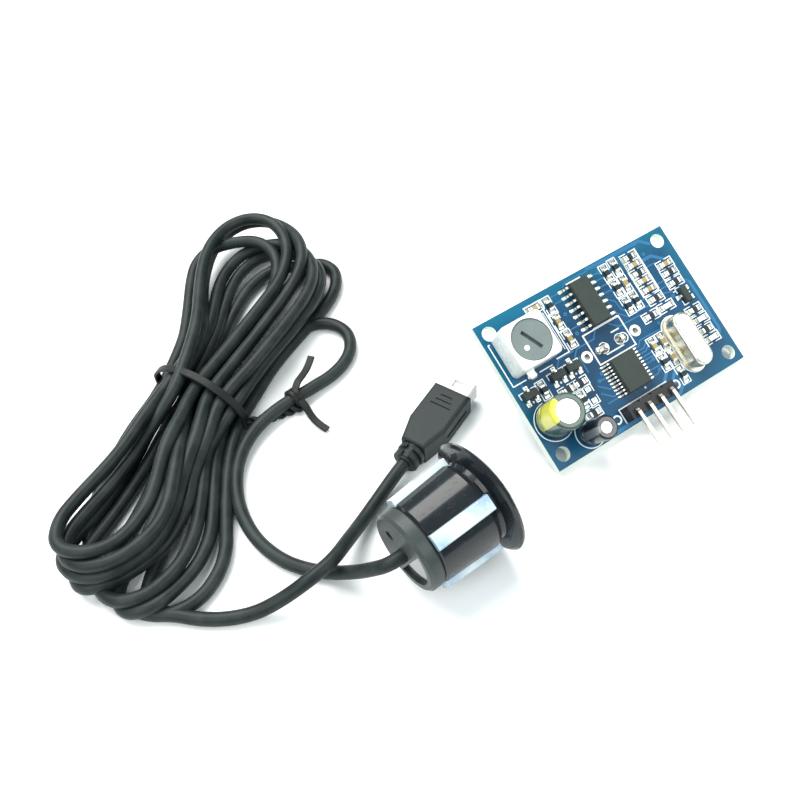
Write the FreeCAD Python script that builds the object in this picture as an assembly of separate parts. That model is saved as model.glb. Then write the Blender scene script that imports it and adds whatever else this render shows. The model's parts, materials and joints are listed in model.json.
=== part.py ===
import FreeCAD, Part
import math
import os

# Waterproof ultrasonic distance sensor: a control board and a transducer probe on a tied hank of
# cable.  Millimetres, +Z up.  X runs along the board's long side.  The origin is on the desk under
# the middle of the board and the probe.  The board leans on its pin header edge and on the cable
# socket under it; the probe lies on the rim of its flange.

V = FreeCAD.Vector
UP = V(0, 0, 1)

# ---- control board: its corner on the desk, its lean and its outline
BOARD_CORNER = V(-4.6, -6.6, 0)
BOARD_TILT = 29.0
BOARD_LENGTH, BOARD_WIDTH, BOARD_THICKNESS = 42.0, 28.0, 1.6
MOUNT_HOLE_R = 1.3
MOUNT_HOLE_INSET = 2.2
LEAD_HOLE_R = 0.5
SOLDER_R, SOLDER_HEIGHT = 0.95, 0.8

# ---- tuning transformer: a square can over a bobbin, with a slotted core that screws in its top
TRANSFORMER_AT = (5.85, 21.0)
CAN_SIDE, CAN_HEIGHT, CAN_WALL = 8.3, 5.4, 0.3
CORE_R, CORE_THICKNESS, CORE_CLEARANCE = 3.6, 1.3, 0.08
CORE_SLOT_LENGTH, CORE_SLOT_WIDTH, CORE_SLOT_DEPTH = 4.3, 0.7, 0.8
CORE_SLOT_ANGLE = -63.0
TRANSFORMER_PIN_PITCH = 2.5

# ---- chips: pin pitch, body and span over the leads
OPAMP_AT = (21.1, 22.3)
OPAMP = {"pins": 7, "pitch": 1.27, "body": (3.9, 8.65, 1.5), "span": 6.9, "lead": (0.42, 0.22)}
CONTROLLER_AT = (20.5, 8.3)
CONTROLLER = {"pins": 10, "pitch": 0.65, "body": (5.0, 6.6, 1.6), "span": 7.6, "lead": (0.28, 0.18)}
CHIP_STANDOFF = 0.15
TRANSISTOR_BODY = (2.9, 1.35, 1.0)
TRANSISTORS = ((38.4, 15.0, 90), (12.1, 13.9, 0), (8.8, 13.9, 0), (2.6, 13.4, 0))

# ---- 0603 parts: centre on the board, and "x" or "y" for the way that the part runs
CHIP_LENGTH, CHIP_WIDTH, CHIP_HEIGHT, CHIP_END = 1.6, 0.85, 0.5, 0.32
RESISTORS = (
    (33.0, 25.7, "x"), (32.9, 22.4, "x"), (33.1, 17.0, "x"), (38.4, 19.8, "x"), (38.3, 17.8, "x"),
    (38.5, 11.8, "x"), (38.3, 7.7, "x"), (30.4, 14.7, "x"), (11.7, 10.9, "x"), (9.1, 10.9, "x"),
    (10.9, 5.3, "x"), (29.5, 25.3, "y"), (29.5, 18.4, "y"), (27.4, 25.1, "y"), (27.5, 22.0, "y"),
    (27.6, 18.3, "y"), (27.7, 6.6, "y"), (14.5, 25.0, "y"), (5.3, 13.0, "y"), (10.5, 8.1, "y"),
    (29.5, 3.1, "y"))
CERAMIC_CAPACITORS = (
    (33.0, 24.1, "x"), (32.9, 20.8, "x"), (32.9, 19.0, "x"), (38.5, 21.5, "x"), (11.8, 25.9, "x"),
    (29.5, 22.0, "y"), (27.7, 9.8, "y"), (29.7, 9.8, "y"), (29.7, 6.6, "y"), (14.3, 21.9, "y"),
    (14.5, 18.3, "y"))
LEDS = ((34.1, 14.8, "x"), (38.6, 9.8, "x"), (38.5, 5.9, "x"))

# ---- crystal and the two electrolytic capacitors
CRYSTAL_AT = (32.9, 7.6)
CRYSTAL_CAN = (3.8, 10.2, 3.3)
CRYSTAL_FLANGE = (4.5, 10.9, 0.5)
CRYSTAL_LEAD_PITCH = 4.9
LARGE_CAPACITOR = {"at": (3.9, 7.9), "r": 3.15, "lip": 1.0, "height": 6.7, "lean": 0.0, "pitch": 2.5}
SMALL_CAPACITOR = {"at": (8.3, 2.9), "r": 2.1, "lip": 1.05, "height": 6.4, "lean": 4.0, "pitch": 1.5}
SLEEVE_WALL = 0.18

# ---- bent pin header, and the cable socket under the board
HEADER_PINS, HEADER_PITCH, HEADER_FIRST_X = 4, 2.54, 16.84
HEADER_BLOCK_Y, HEADER_BLOCK_WIDTH, HEADER_BLOCK_HEIGHT = 2.15, 2.5, 2.5
PIN_SIDE, PIN_BEND_Z, PIN_REACH_Y, PIN_RISE = 0.64, 2.6, -5.0, 0.55
SOCKET_X, SOCKET_Y = (17.0, 24.9), (11.7, 17.5)
SOCKET_WALL, SOCKET_FLOOR = 0.8, 1.3
SOCKET_CONTACT_X, SOCKET_CONTACT_Y = (19.2, 22.7), 14.0
SOCKET_RINGS = ((15.5, 14.1), (26.2, 13.9))

# ---- probe: the middle of its flange, the way that it points, and its sizes along its own axis
FLANGE_R = 9.85
FLANGE_AT = V(-21.5, -8.0, FLANGE_R + 0.02)
PROBE_AZIMUTH, PROBE_ELEVATION, PROBE_ROLL = 5.4, 1.0, 25.2
CAP_R, CAP_LENGTH = 6.9, 2.4
BARREL_START, BARREL_END = 2.7, 13.6
BARREL_REAR_R, BARREL_FRONT_R = 7.0, 7.5
BARREL_BORE_R = 6.1
FLANGE_PLANE, PROBE_LENGTH = 15.1, 16.0
CUP_R, CUP_WALL, CUP_FACE = 5.6, 0.7, 0.6
PIEZO_R, PIEZO_THICKNESS = 3.5, 0.8
STRIP_WIDTH, STRIP_THICKNESS, STRIP_ANGLE = 2.6, 0.95, 11.0

# ---- cable, its plug, and its tie
CABLE_D = 2.3
CABLE_FLOOR = CABLE_D / 2 + 0.02
PLUG_FRONT = V(-10.2, 15.1, 2.6)
PLUG_AZIMUTH = 24.0
PLUG_WIDTH, PLUG_THICKNESS, PLUG_LENGTH, PLUG_TAPER = 7.1, 5.0, 13.2, 4.8
PLUG_NECK = 4.6
RELIEF_R, RELIEF_LENGTH = 2.4, 3.0
TIP_WIDTH, TIP_THICKNESS, TIP_LENGTH = 5.8, 3.6, 3.2
HANK_HEIGHT, HANK_WAIST_HEIGHT = 9.8, 7.0
TIE_WIDTH, TIE_THICKNESS = 1.3, 0.45

# The free stretches of the cable, point by point: from the probe to the hank ...
PROBE_ROUTE = (
    (-41.3, -7.3, 6.9), (-43.0, -4.4, 3.6), (-45.2, -1.6, 1.6), (-48.0, 1.2, 1.2),
    (-50.7, 5.2, 1.2), (-52.3, 11.0, 1.2), (-51.8, 17.6, 1.2), (-49.5, 23.4, 1.3),
    (-45.9, 27.8, 1.7), (-41.2, 30.6, 2.0), (-35.6, 32.0, 2.0), (-29.4, 32.5, 1.6),
    (-23.6, 33.2, 1.2), (-18.8, 35.7, 1.2), (-16.4, 40.0, 1.2), (-17.6, 44.4, 1.2),
    (-21.4, 46.6, 1.2))
# ... and from the hank over the first stretch to the plug.
PLUG_ROUTE = (
    (-69.0, 6.8, 1.2), (-66.2, 3.8, 1.2), (-62.7, 1.3, 1.2), (-58.4, -0.6, 1.4),
    (-54.0, -1.9, 3.3), (-49.6, -2.8, 5.8), (-44.9, -2.1, 6.0), (-40.9, 0.6, 4.0),
    (-37.3, 3.0, 2.1), (-32.8, 5.3, 1.7), (-28.2, 7.3, 2.2))

# The hank's outline on the desk, round both ends and in at the waist where the tie holds it.
HANK_OUTLINE = (
    (-81.4, 21.5), (-79.0, 11.8), (-69.5, 5.4), (-58.5, 7.2), (-51.3, 18.0), (-41.8, 32.8),
    (-24.0, 43.8), (-9.8, 51.0), (-10.6, 62.5), (-19.0, 72.0), (-36.0, 67.0), (-52.6, 49.9),
    (-65.5, 40.0), (-77.5, 30.0))
HANK_WAIST = (V(-52.0, 49.2, 0), V(-42.6, 33.4, 0))


# ------------------------------------------------------------------ helpers
def block(cx, cy, z, dx, dy, dz):
    return Part.makeBox(dx, dy, dz, V(cx - dx / 2, cy - dy / 2, z))


def disc(cx, cy, z, r, height):
    return Part.makeCylinder(r, height, V(cx, cy, z))


def turned(profile):
    """A solid of revolution about Z from (radius, height) points, closed by a straight line."""
    points = [V(r, 0, z) for r, z in profile]
    return Part.Face(Part.makePolygon(points + points[:1])).revolve(V(), UP, 360)


def prism(points, height):
    """A straight prism on a closed outline of vectors."""
    return Part.Face(Part.makePolygon(list(points) + [points[0]])).extrude(height)


def stadium(cx, cy, z, dx, dy, dz):
    """A block with round ends, longer along Y."""
    r = dx / 2
    reach = dy / 2 - r
    body = block(cx, cy, z, dx, 2 * reach, dz)
    return body.fuse([disc(cx, cy - reach, z, r, dz), disc(cx, cy + reach, z, r, dz)]).removeSplitter()


def edges_at(shape, z):
    """The edges that lie wholly in the plane of that height."""
    flat = []
    for edge in shape.Edges:
        box = edge.BoundBox
        if abs(box.ZMin - z) < 1e-4 and abs(box.ZMax - z) < 1e-4:
            flat.append(edge)
    return flat


def upright_edges(shape):
    return [e for e in shape.Edges if e.BoundBox.XLength < 1e-4 and e.BoundBox.YLength < 1e-4]


def leaning(shape, at, degrees):
    """The shape leaned about the X direction through a point on the board."""
    shape.rotate(V(at[0], at[1], 0), V(1, 0, 0), degrees)
    return shape


def save(node, solids, placement=None):
    solids = solids if isinstance(solids, (list, tuple)) else [solids]
    shape = solids[0] if len(solids) == 1 else Part.makeCompound(list(solids))
    if placement:
        shape.transformShape(placement.toMatrix())
    shape.exportStep("parts/%s.step" % node)
    return shape


def board_placement():
    lean = FreeCAD.Rotation(V(1, 0, 0), BOARD_TILT)
    return FreeCAD.Placement(BOARD_CORNER + lean.multVec(V(0, 0, BOARD_THICKNESS)), lean)


def probe_axis():
    azimuth, elevation = math.radians(PROBE_AZIMUTH), math.radians(PROBE_ELEVATION)
    level = math.cos(elevation)
    return V(level * math.cos(azimuth), level * math.sin(azimuth), math.sin(elevation))


def probe_placement():
    """Probe axis along local Z from the rear face; local X points up and a little to the front."""
    axis = probe_axis()
    across = UP.cross(axis).normalize()
    above = axis.cross(across)
    roll = math.radians(PROBE_ROLL)
    top = above * math.cos(roll) - across * math.sin(roll)
    turn = FreeCAD.Rotation(top, axis.cross(top), axis, "ZXY")
    return FreeCAD.Placement(FLANGE_AT - axis * FLANGE_PLANE, turn)


def plug_placement():
    """Plug axis along local X; its front face is at local x = 0 and its middle at z = 0."""
    return FreeCAD.Placement(PLUG_FRONT, FreeCAD.Rotation(UP, PLUG_AZIMUTH))


# ------------------------------------------------------------------ control board
def mount_holes():
    xs = (MOUNT_HOLE_INSET, BOARD_LENGTH - MOUNT_HOLE_INSET)
    ys = (MOUNT_HOLE_INSET, BOARD_WIDTH - MOUNT_HOLE_INSET)
    return [(x, y) for x in xs for y in ys]


def header_xs():
    return [HEADER_FIRST_X + i * HEADER_PITCH for i in range(HEADER_PINS)]


def crystal_lead_spots():
    x, y = CRYSTAL_AT
    return [(x, y - CRYSTAL_LEAD_PITCH / 2), (x, y + CRYSTAL_LEAD_PITCH / 2)]


def capacitor_lead_spots(capacitor):
    x, y = capacitor["at"]
    return [(x - capacitor["pitch"] / 2, y), (x + capacitor["pitch"] / 2, y)]


def transformer_pin_spots():
    x, y = TRANSFORMER_AT
    p = TRANSFORMER_PIN_PITCH
    return [(x - p, y - p), (x, y - p), (x + p, y - p), (x - p, y + p), (x + p, y + p)]


def soldered_from_above():
    """Leads that go down through the board and are soldered under it."""
    spots = [(x, HEADER_BLOCK_Y) for x in header_xs()]
    spots += crystal_lead_spots() + transformer_pin_spots()
    return spots + capacitor_lead_spots(LARGE_CAPACITOR) + capacitor_lead_spots(SMALL_CAPACITOR)


def socket_contact_spots():
    return [(x, SOCKET_CONTACT_Y) for x in SOCKET_CONTACT_X]


def circuit_board():
    bottom = -BOARD_THICKNESS
    board = Part.makeBox(BOARD_LENGTH, BOARD_WIDTH, BOARD_THICKNESS, V(0, 0, bottom))
    drills = [disc(x, y, bottom - 1, MOUNT_HOLE_R, BOARD_THICKNESS + 2) for x, y in mount_holes()]
    for x, y in soldered_from_above() + socket_contact_spots():
        drills.append(disc(x, y, bottom - 1, LEAD_HOLE_R, BOARD_THICKNESS + 2))
    for x, y in SOCKET_RINGS:
        drills.append(disc(x, y, bottom - 1, 0.65, BOARD_THICKNESS + 2))
    return board.cut(Part.makeCompound(drills))


def solder_joints():
    joints = []
    for x, y in soldered_from_above():
        cone = Part.makeCone(0.5, SOLDER_R, SOLDER_HEIGHT, V(x, y, -BOARD_THICKNESS - SOLDER_HEIGHT))
        joints.append(cone.cut(disc(x, y, -BOARD_THICKNESS - 1, 0.46, 2)))
    for x, y in socket_contact_spots():
        cone = Part.makeCone(SOLDER_R, 0.5, SOLDER_HEIGHT, V(x, y, 0))
        joints.append(cone.cut(disc(x, y, -0.5, 0.46, 2)))
    return joints


# ------------------------------------------------------------------ tuning transformer
def transformer_can():
    x, y = TRANSFORMER_AT
    shell = block(x, y, 0.05, CAN_SIDE, CAN_SIDE, CAN_HEIGHT - 0.05)
    shell = shell.makeFillet(0.9, upright_edges(shell))
    shell = shell.makeFillet(0.45, edges_at(shell, CAN_HEIGHT))
    inner = CAN_SIDE - 2 * CAN_WALL
    cavity = block(x, y, -1, inner, inner, CAN_HEIGHT - CAN_WALL + 1)
    cavity = cavity.makeFillet(0.65, upright_edges(cavity))
    mouth = disc(x, y, 0, CORE_R + CORE_CLEARANCE, CAN_HEIGHT + 1)
    tab = block(x - 1.0, y - CAN_SIDE / 2 - 0.35, 0.05, 1.5, 0.9, 0.35)
    return shell.cut(cavity).cut(mouth).fuse(tab.cut(cavity)).removeSplitter()


def transformer_base():
    x, y = TRANSFORMER_AT
    side = CAN_SIDE - 2 * CAN_WALL - 0.1
    base = block(x, y, 0.1, side, side, 0.6)
    base = base.makeFillet(0.6, upright_edges(base))
    pins = [disc(px, py, -1, 0.32, 3) for px, py in transformer_pin_spots()]
    return base.cut(Part.makeCompound(pins))


def transformer_pins():
    length = BOARD_THICKNESS + 0.7 + 0.9
    return [disc(x, y, 0.7 - length, 0.3, length) for x, y in transformer_pin_spots()]


def transformer_bobbin():
    x, y = TRANSFORMER_AT
    bobbin = turned(((0, 0.7), (2.9, 0.7), (2.9, 1.0), (1.3, 1.0), (1.3, 3.4), (2.9, 3.4),
                     (2.9, 3.7), (0, 3.7)))
    bobbin.translate(V(x, y, 0))
    return bobbin


def transformer_winding():
    x, y = TRANSFORMER_AT
    coil = disc(x, y, 1.0, 2.6, 2.4)
    return coil.cut(disc(x, y, 0.9, 1.3, 3))


def tuning_core():
    x, y = TRANSFORMER_AT
    top = CAN_HEIGHT - 0.15
    core = disc(x, y, top - CORE_THICKNESS, CORE_R, CORE_THICKNESS)
    core = core.makeFillet(0.15, edges_at(core, top))
    slot = block(x, y, top - CORE_SLOT_DEPTH, CORE_SLOT_LENGTH, CORE_SLOT_WIDTH, 2)
    slot.rotate(V(x, y, 0), UP, CORE_SLOT_ANGLE)
    return core.cut(slot)


# ------------------------------------------------------------------ chips
def moulded_body(cx, cy, z, size, draft=0.12):
    """A moulded block that narrows from its waist to its top and its underside."""
    dx, dy, dz = size
    waist = z + dz * 0.45

    def ring(level, inset):
        corners = [(-1, -1), (1, -1), (1, 1), (-1, 1)]
        return [V(cx + sx * (dx / 2 - inset), cy + sy * (dy / 2 - inset), level) for sx, sy in corners]

    def wire(points):
        return Part.makePolygon(points + points[:1])

    lower = Part.makeLoft([wire(ring(z, draft)), wire(ring(waist, 0))], True, True)
    upper = Part.makeLoft([wire(ring(waist, 0)), wire(ring(z + dz, draft))], True, True)
    return lower.fuse(upper).removeSplitter()


def gull_lead(inner, outer, rise, thickness, width):
    """A lead that leaves a body at a height, steps down and ends in a flat foot; it runs along +X."""
    knee = inner + (outer - inner) * 0.38
    heel = inner + (outer - inner) * 0.52
    t = thickness
    outline = [V(inner, 0, rise), V(knee, 0, rise), V(heel, 0, 0), V(outer, 0, 0), V(outer, 0, t),
               V(heel + t * 0.7, 0, t), V(knee + t * 0.7, 0, rise + t), V(inner, 0, rise + t)]
    lead = prism(outline, V(0, width, 0))
    lead.translate(V(0, -width / 2, 0))
    return lead


def chip_body(at, chip):
    return moulded_body(at[0], at[1], CHIP_STANDOFF, chip["body"])


def chip_leads(at, chip):
    width, thickness = chip["lead"]
    rise = CHIP_STANDOFF + chip["body"][2] * 0.45
    leads = []
    for side in (0, 180):
        for i in range(chip["pins"]):
            lead = gull_lead(chip["body"][0] / 2, chip["span"] / 2, rise, thickness, width)
            lead.translate(V(0, (i - (chip["pins"] - 1) / 2) * chip["pitch"], 0.01))
            lead.rotate(V(), UP, side)
            lead.translate(V(at[0], at[1], 0))
            leads.append(lead)
    return leads


def transistor_bodies():
    bodies = []
    for x, y, turn in TRANSISTORS:
        body = moulded_body(0, 0, 0.1, TRANSISTOR_BODY, 0.1)
        body.rotate(V(), UP, turn)
        body.translate(V(x, y, 0))
        bodies.append(body)
    return bodies


def transistor_leads():
    leads = []
    for x, y, turn in TRANSISTORS:
        for offset, side in ((0, 90), (-0.95, -90), (0.95, -90)):
            lead = gull_lead(TRANSISTOR_BODY[1] / 2, 1.3, 0.45, 0.15, 0.42)
            lead.rotate(V(), UP, side)
            lead.translate(V(offset, 0, 0.01))
            lead.rotate(V(), UP, turn)
            lead.translate(V(x, y, 0))
            leads.append(lead)
    return leads


def chip_solids(places, low, high):
    """The stretches between two distances from the middle of each small part, on both sides."""
    solids = []
    for x, y, way in places:
        spans = [(-high, -low), (low, high)] if low > 0 else [(-high, high)]
        for start, stop in spans:
            solid = Part.makeBox(stop - start, CHIP_WIDTH, CHIP_HEIGHT, V(start, -CHIP_WIDTH / 2, 0.02))
            if way == "y":
                solid.rotate(V(), UP, 90)
            solid.translate(V(x, y, 0))
            solids.append(solid)
    return solids


def chip_bodies(places):
    return chip_solids(places, 0, CHIP_LENGTH / 2 - CHIP_END)


def chip_ends(places):
    return chip_solids(places, CHIP_LENGTH / 2 - CHIP_END, CHIP_LENGTH / 2)


# ------------------------------------------------------------------ crystal and electrolytics
def crystal_can():
    dx, dy, dz = CRYSTAL_CAN
    can = stadium(CRYSTAL_AT[0], CRYSTAL_AT[1], CRYSTAL_FLANGE[2] + 0.1, dx, dy, dz)
    return can.makeFillet(0.55, edges_at(can, CRYSTAL_FLANGE[2] + 0.1 + dz))


def crystal_base():
    dx, dy, dz = CRYSTAL_FLANGE
    base = stadium(CRYSTAL_AT[0], CRYSTAL_AT[1], 0.1, dx, dy, dz)
    holes = [disc(x, y, -1, 0.22, 1.6) for x, y in crystal_lead_spots()]
    return base.cut(Part.makeCompound(holes))


def crystal_leads():
    length = BOARD_THICKNESS + 1.5
    return [disc(x, y, 0.6 - length, 0.22, length) for x, y in crystal_lead_spots()]


def capacitor_parts(capacitor):
    """Sleeve, can, rubber bung and leads of one radial capacitor, standing or leaning."""
    x, y = capacitor["at"]
    r, height = capacitor["r"], capacitor["height"]
    foot = 0.35 + r * math.tan(math.radians(capacitor["lean"]))
    can_r = r - SLEEVE_WALL
    opening = r - capacitor["lip"]
    sleeve = turned(((can_r, 0.25), (r, 0.25), (r, 1.2), (r - 0.16, 1.35), (r - 0.16, 1.6), (r, 1.75),
                     (r, height - 0.4), (r - 0.12, height - 0.12), (r - 0.4, height), (opening, height),
                     (opening, height - 0.15),
                     (can_r, height - 0.2)))
    can = turned(((0, 0.6), (can_r - 0.16, 0.6), (can_r - 0.16, height - 0.5), (opening - 0.1, height - 0.18),
                  (0, height - 0.18)))
    bung = disc(0, 0, 0, can_r - 0.2, 0.6)
    for solid in (sleeve, can, bung):
        solid.translate(V(x, y, foot))
        leaning(solid, (x, y), capacitor["lean"])
    leads = []
    for px, py in capacitor_lead_spots(capacitor):
        leads.append(disc(px, py, -BOARD_THICKNESS - 0.9, 0.25, BOARD_THICKNESS + 0.9 + foot))
    return sleeve, can, bung, leads


# ------------------------------------------------------------------ header and cable socket
def header_block():
    length = HEADER_PINS * HEADER_PITCH
    x0 = HEADER_FIRST_X - HEADER_PITCH / 2
    y0, y1 = HEADER_BLOCK_Y - HEADER_BLOCK_WIDTH / 2, HEADER_BLOCK_Y + HEADER_BLOCK_WIDTH / 2
    strip = Part.makeBox(length, y1 - y0, HEADER_BLOCK_HEIGHT, V(x0, y0, 0.02))
    for i in range(1, HEADER_PINS):
        x = x0 + i * HEADER_PITCH
        for y, way in ((y0, 1), (y1, -1)):
            notch = prism([V(x - 0.35, y - way * 0.01, -1), V(x + 0.35, y - way * 0.01, -1),
                           V(x, y + way * 0.4, -1)], V(0, 0, 5))
            strip = strip.cut(notch)
    for x in header_xs():
        strip = strip.cut(block(x, HEADER_BLOCK_Y, -1, PIN_SIDE, PIN_SIDE, 5))
    return strip


def header_pins():
    pins = []
    y = HEADER_BLOCK_Y
    h = PIN_SIDE / 2
    low = -BOARD_THICKNESS - 0.9
    for x in header_xs():
        outline = [V(x - h, y + h, low), V(x - h, y + h, PIN_BEND_Z + PIN_SIDE),
                   V(x - h, PIN_REACH_Y, PIN_BEND_Z + PIN_RISE + PIN_SIDE),
                   V(x - h, PIN_REACH_Y, PIN_BEND_Z + PIN_RISE),
                   V(x - h, y - h, PIN_BEND_Z), V(x - h, y - h, low)]
        pin = prism(outline, V(PIN_SIDE, 0, 0))
        corners = [e for e in pin.Edges if e.BoundBox.YLength < 1e-4 and e.BoundBox.ZLength < 1e-4]
        outer = [e for e in corners if abs(e.BoundBox.YMax - y - h) < 1e-3 and e.BoundBox.ZMin > 1]
        pins.append(pin.makeFillet(0.75, outer))
    return pins


def cable_socket_housing():
    """A shroud that is open downward; its front lower edge is what stands on the desk."""
    depth = SOCKET_Y[0] * math.tan(math.radians(BOARD_TILT))
    cx, cy = sum(SOCKET_X) / 2, sum(SOCKET_Y) / 2
    dx, dy = SOCKET_X[1] - SOCKET_X[0], SOCKET_Y[1] - SOCKET_Y[0]
    top = -BOARD_THICKNESS
    body = block(cx, cy, top - depth, dx, dy, depth)
    hollow = block(cx, cy, top - depth - 1, dx - 2 * SOCKET_WALL, dy - 2 * SOCKET_WALL,
                   depth - SOCKET_FLOOR + 1)
    body = body.cut(hollow)
    for x in SOCKET_CONTACT_X:
        body = body.cut(block(x, SOCKET_Y[1], top - depth - 1, 1.2, 4 * SOCKET_WALL, depth - 2))
        body = body.cut(block(x, SOCKET_CONTACT_Y, top - depth, PIN_SIDE, PIN_SIDE, depth + 1))
    return body


def socket_contacts():
    depth = SOCKET_Y[0] * math.tan(math.radians(BOARD_TILT))
    low = -BOARD_THICKNESS - depth + 1.2
    return [block(x, y, low, PIN_SIDE, PIN_SIDE, 1.3 - low) for x, y in socket_contact_spots()]


# ------------------------------------------------------------------ probe
def sensor_barrel():
    return turned(((BARREL_BORE_R, BARREL_START), (BARREL_REAR_R - 0.3, BARREL_START),
                   (BARREL_REAR_R, BARREL_START + 0.3), (BARREL_FRONT_R, BARREL_END - 1.2),
                   (BARREL_FRONT_R - 0.25, BARREL_END - 0.5), (BARREL_FRONT_R - 0.8, BARREL_END),
                   (BARREL_BORE_R, BARREL_END)))


def sensor_flange():
    return turned(((BARREL_BORE_R, BARREL_END), (6.7, BARREL_END), (7.0, BARREL_END + 0.6),
                   (FLANGE_R - 0.5, FLANGE_PLANE - 0.35), (FLANGE_R, FLANGE_PLANE),
                   (FLANGE_R - 0.15, FLANGE_PLANE + 0.45), (FLANGE_R - 0.8, PROBE_LENGTH),
                   (7.3, PROBE_LENGTH), (6.6, PROBE_LENGTH - 0.6), (BARREL_BORE_R, PROBE_LENGTH - 0.6)))


def membrane_cup():
    front = PROBE_LENGTH - 0.5
    inner = CUP_R - CUP_WALL
    return turned(((inner, 9.0), (CUP_R, 9.0), (CUP_R, front - 0.2), (CUP_R - 0.2, front), (0, front),
                   (0, front - CUP_FACE), (inner, front - CUP_FACE)))


def isolation_ring():
    return turned(((CUP_R, 9.0), (BARREL_BORE_R, 9.0), (BARREL_BORE_R, PROBE_LENGTH - 0.7),
                   (CUP_R, PROBE_LENGTH - 0.7)))


def piezo_disc():
    face = PROBE_LENGTH - 0.5 - CUP_FACE
    return disc(0, 0, face - PIEZO_THICKNESS, PIEZO_R, PIEZO_THICKNESS)


def inner_wires():
    face = PROBE_LENGTH - 0.5 - CUP_FACE - PIEZO_THICKNESS
    return [disc(x, 0, 2.0, 0.25, face - 2.0) for x in (-0.45, 0.45)]


def damping_pad():
    face = PROBE_LENGTH - 0.5 - CUP_FACE - PIEZO_THICKNESS
    pad = disc(0, 0, 9.5, CUP_R - CUP_WALL, face - 9.5)
    return pad.cut(Part.makeCompound(inner_wires()))


def potting():
    fill = disc(0, 0, CAP_LENGTH, BARREL_BORE_R, 9.0 - CAP_LENGTH)
    return fill.cut(Part.makeCompound(inner_wires()))


def rear_window(depth):
    """The half-round opening in the rear cap, on the side away from the vent hole."""
    half = disc(0, 0, -1, CAP_R - 1.4, depth + 1)
    return half.common(Part.makeBox(20, 20, 20, V(-10, 1.6, -5)))


def rear_cap():
    cap = turned(((0, 0), (CAP_R - 0.5, 0), (CAP_R, 0.5), (CAP_R, CAP_LENGTH - 0.1),
                  (CAP_R - 0.4, CAP_LENGTH + 0.3), (BARREL_BORE_R, CAP_LENGTH + 0.3),
                  (BARREL_BORE_R, CAP_LENGTH), (0, CAP_LENGTH)))
    cap = cap.cut(rear_window(1.3))
    cap = cap.cut(disc(0, -3.5, -1, 0.85, 2.2))
    return cap.cut(disc(0, 0, -1, CABLE_D / 2, 5))


def rear_resin():
    pool = rear_window(1.3).common(Part.makeBox(20, 20, 0.7, V(-10, -10, 0.6)))
    return pool


def side_strips():
    """Four glossy strips laid in line with the axis; the barrel's taper lifts their front ends."""
    strips = []
    length = BARREL_END - 0.3 - BARREL_START
    lift = math.degrees(math.atan((BARREL_FRONT_R - BARREL_REAR_R) / length))
    for i in range(4):
        strip = Part.makeBox(STRIP_THICKNESS + 0.9, STRIP_WIDTH, length, V(-0.9, -STRIP_WIDTH / 2, 0))
        long_edges = [e for e in strip.Edges if e.BoundBox.ZLength > 5 and e.BoundBox.XMin > 0]
        strip = strip.makeFillet(0.22, long_edges)
        strip.rotate(V(), V(0, 1, 0), lift)
        strip.translate(V(BARREL_REAR_R - 0.1, 0, BARREL_START + 0.02))
        strip = strip.cut(sensor_barrel()).cut(disc(0, 0, 0, BARREL_REAR_R - 0.35, 20))
        strip.rotate(V(), UP, STRIP_ANGLE + i * 90)
        strips.append(strip.Solids[0])
    return strips


# ------------------------------------------------------------------ cable
def cord_path(points):
    """Straight runs with a tangent arc at each point, and the arcs' radii."""
    edges = []
    radii = []
    start = points[0]
    for before, corner, after in zip(points, points[1:], points[2:]):
        into = (corner - before).normalize()
        out = (after - corner).normalize()
        turn = into.getAngle(out)
        reach = 0.45 * min((corner - before).Length, (after - corner).Length)
        radii.append(reach / math.tan(turn / 2))
        first, last = corner - into * reach, corner + out * reach
        to_middle = (out - into).normalize()
        centre = corner + to_middle * (radii[-1] / math.cos(turn / 2))
        middle = centre - to_middle * radii[-1]
        edges.append(Part.LineSegment(start, first).toShape())
        edges.append(Part.Arc(first, middle, last).toShape())
        start = last
    edges.append(Part.LineSegment(start, points[-1]).toShape())
    return Part.Wire(edges), radii


def cord_tube(name, points):
    path, radii = cord_path(points)
    ring = Part.makeCircle(CABLE_D / 2, points[0], (points[1] - points[0]).normalize())
    tube = path.makePipeShell([Part.Wire(ring)], True, False)
    ideal = math.pi * CABLE_D ** 2 / 4 * path.Length
    print(name, "length", round(path.Length, 1), "volume / ideal", round(tube.Volume / ideal, 4))
    print(name, "arc radii", [round(r, 1) for r in radii])
    return tube


def sensor_cable():
    axis = probe_axis()
    rear = FLANGE_AT - axis * FLANGE_PLANE
    points = [rear + axis * 1.2, rear - axis * 2.4]
    return cord_tube("sensor_cable", points + [V(*p) for p in PROBE_ROUTE])


def plug_cable():
    back = plug_placement()
    points = [V(*p) for p in PLUG_ROUTE]
    points += [back.multVec(V(-PLUG_LENGTH - RELIEF_LENGTH - 0.3, 0, 0)), back.multVec(V(-PLUG_LENGTH, 0, 0))]
    return cord_tube("plug_cable", points)


def cable_hank():
    """The closed outer shape of the hank: high at both ends and pulled down at the waist."""
    outline = Part.BSplineCurve()
    outline.interpolate([V(x, y, 0.02) for x, y in HANK_OUTLINE], PeriodicFlag=True)
    slab = Part.Face(Part.Wire(outline.toShape())).extrude(V(0, 0, HANK_HEIGHT))
    waist = (HANK_WAIST[0] + HANK_WAIST[1]) / 2
    across = (HANK_WAIST[0] - HANK_WAIST[1]).normalize()
    along = V(across.y, -across.x, 0)
    side = waist - across * 60
    profile = [(-60, 0), (60, 0), (60, HANK_HEIGHT), (24, HANK_HEIGHT), (4, HANK_WAIST_HEIGHT),
               (-4, HANK_WAIST_HEIGHT), (-24, HANK_HEIGHT), (-60, HANK_HEIGHT)]
    envelope = prism([side + along * a + UP * h for a, h in profile], across * 120)
    return slab.common(envelope)


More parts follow.
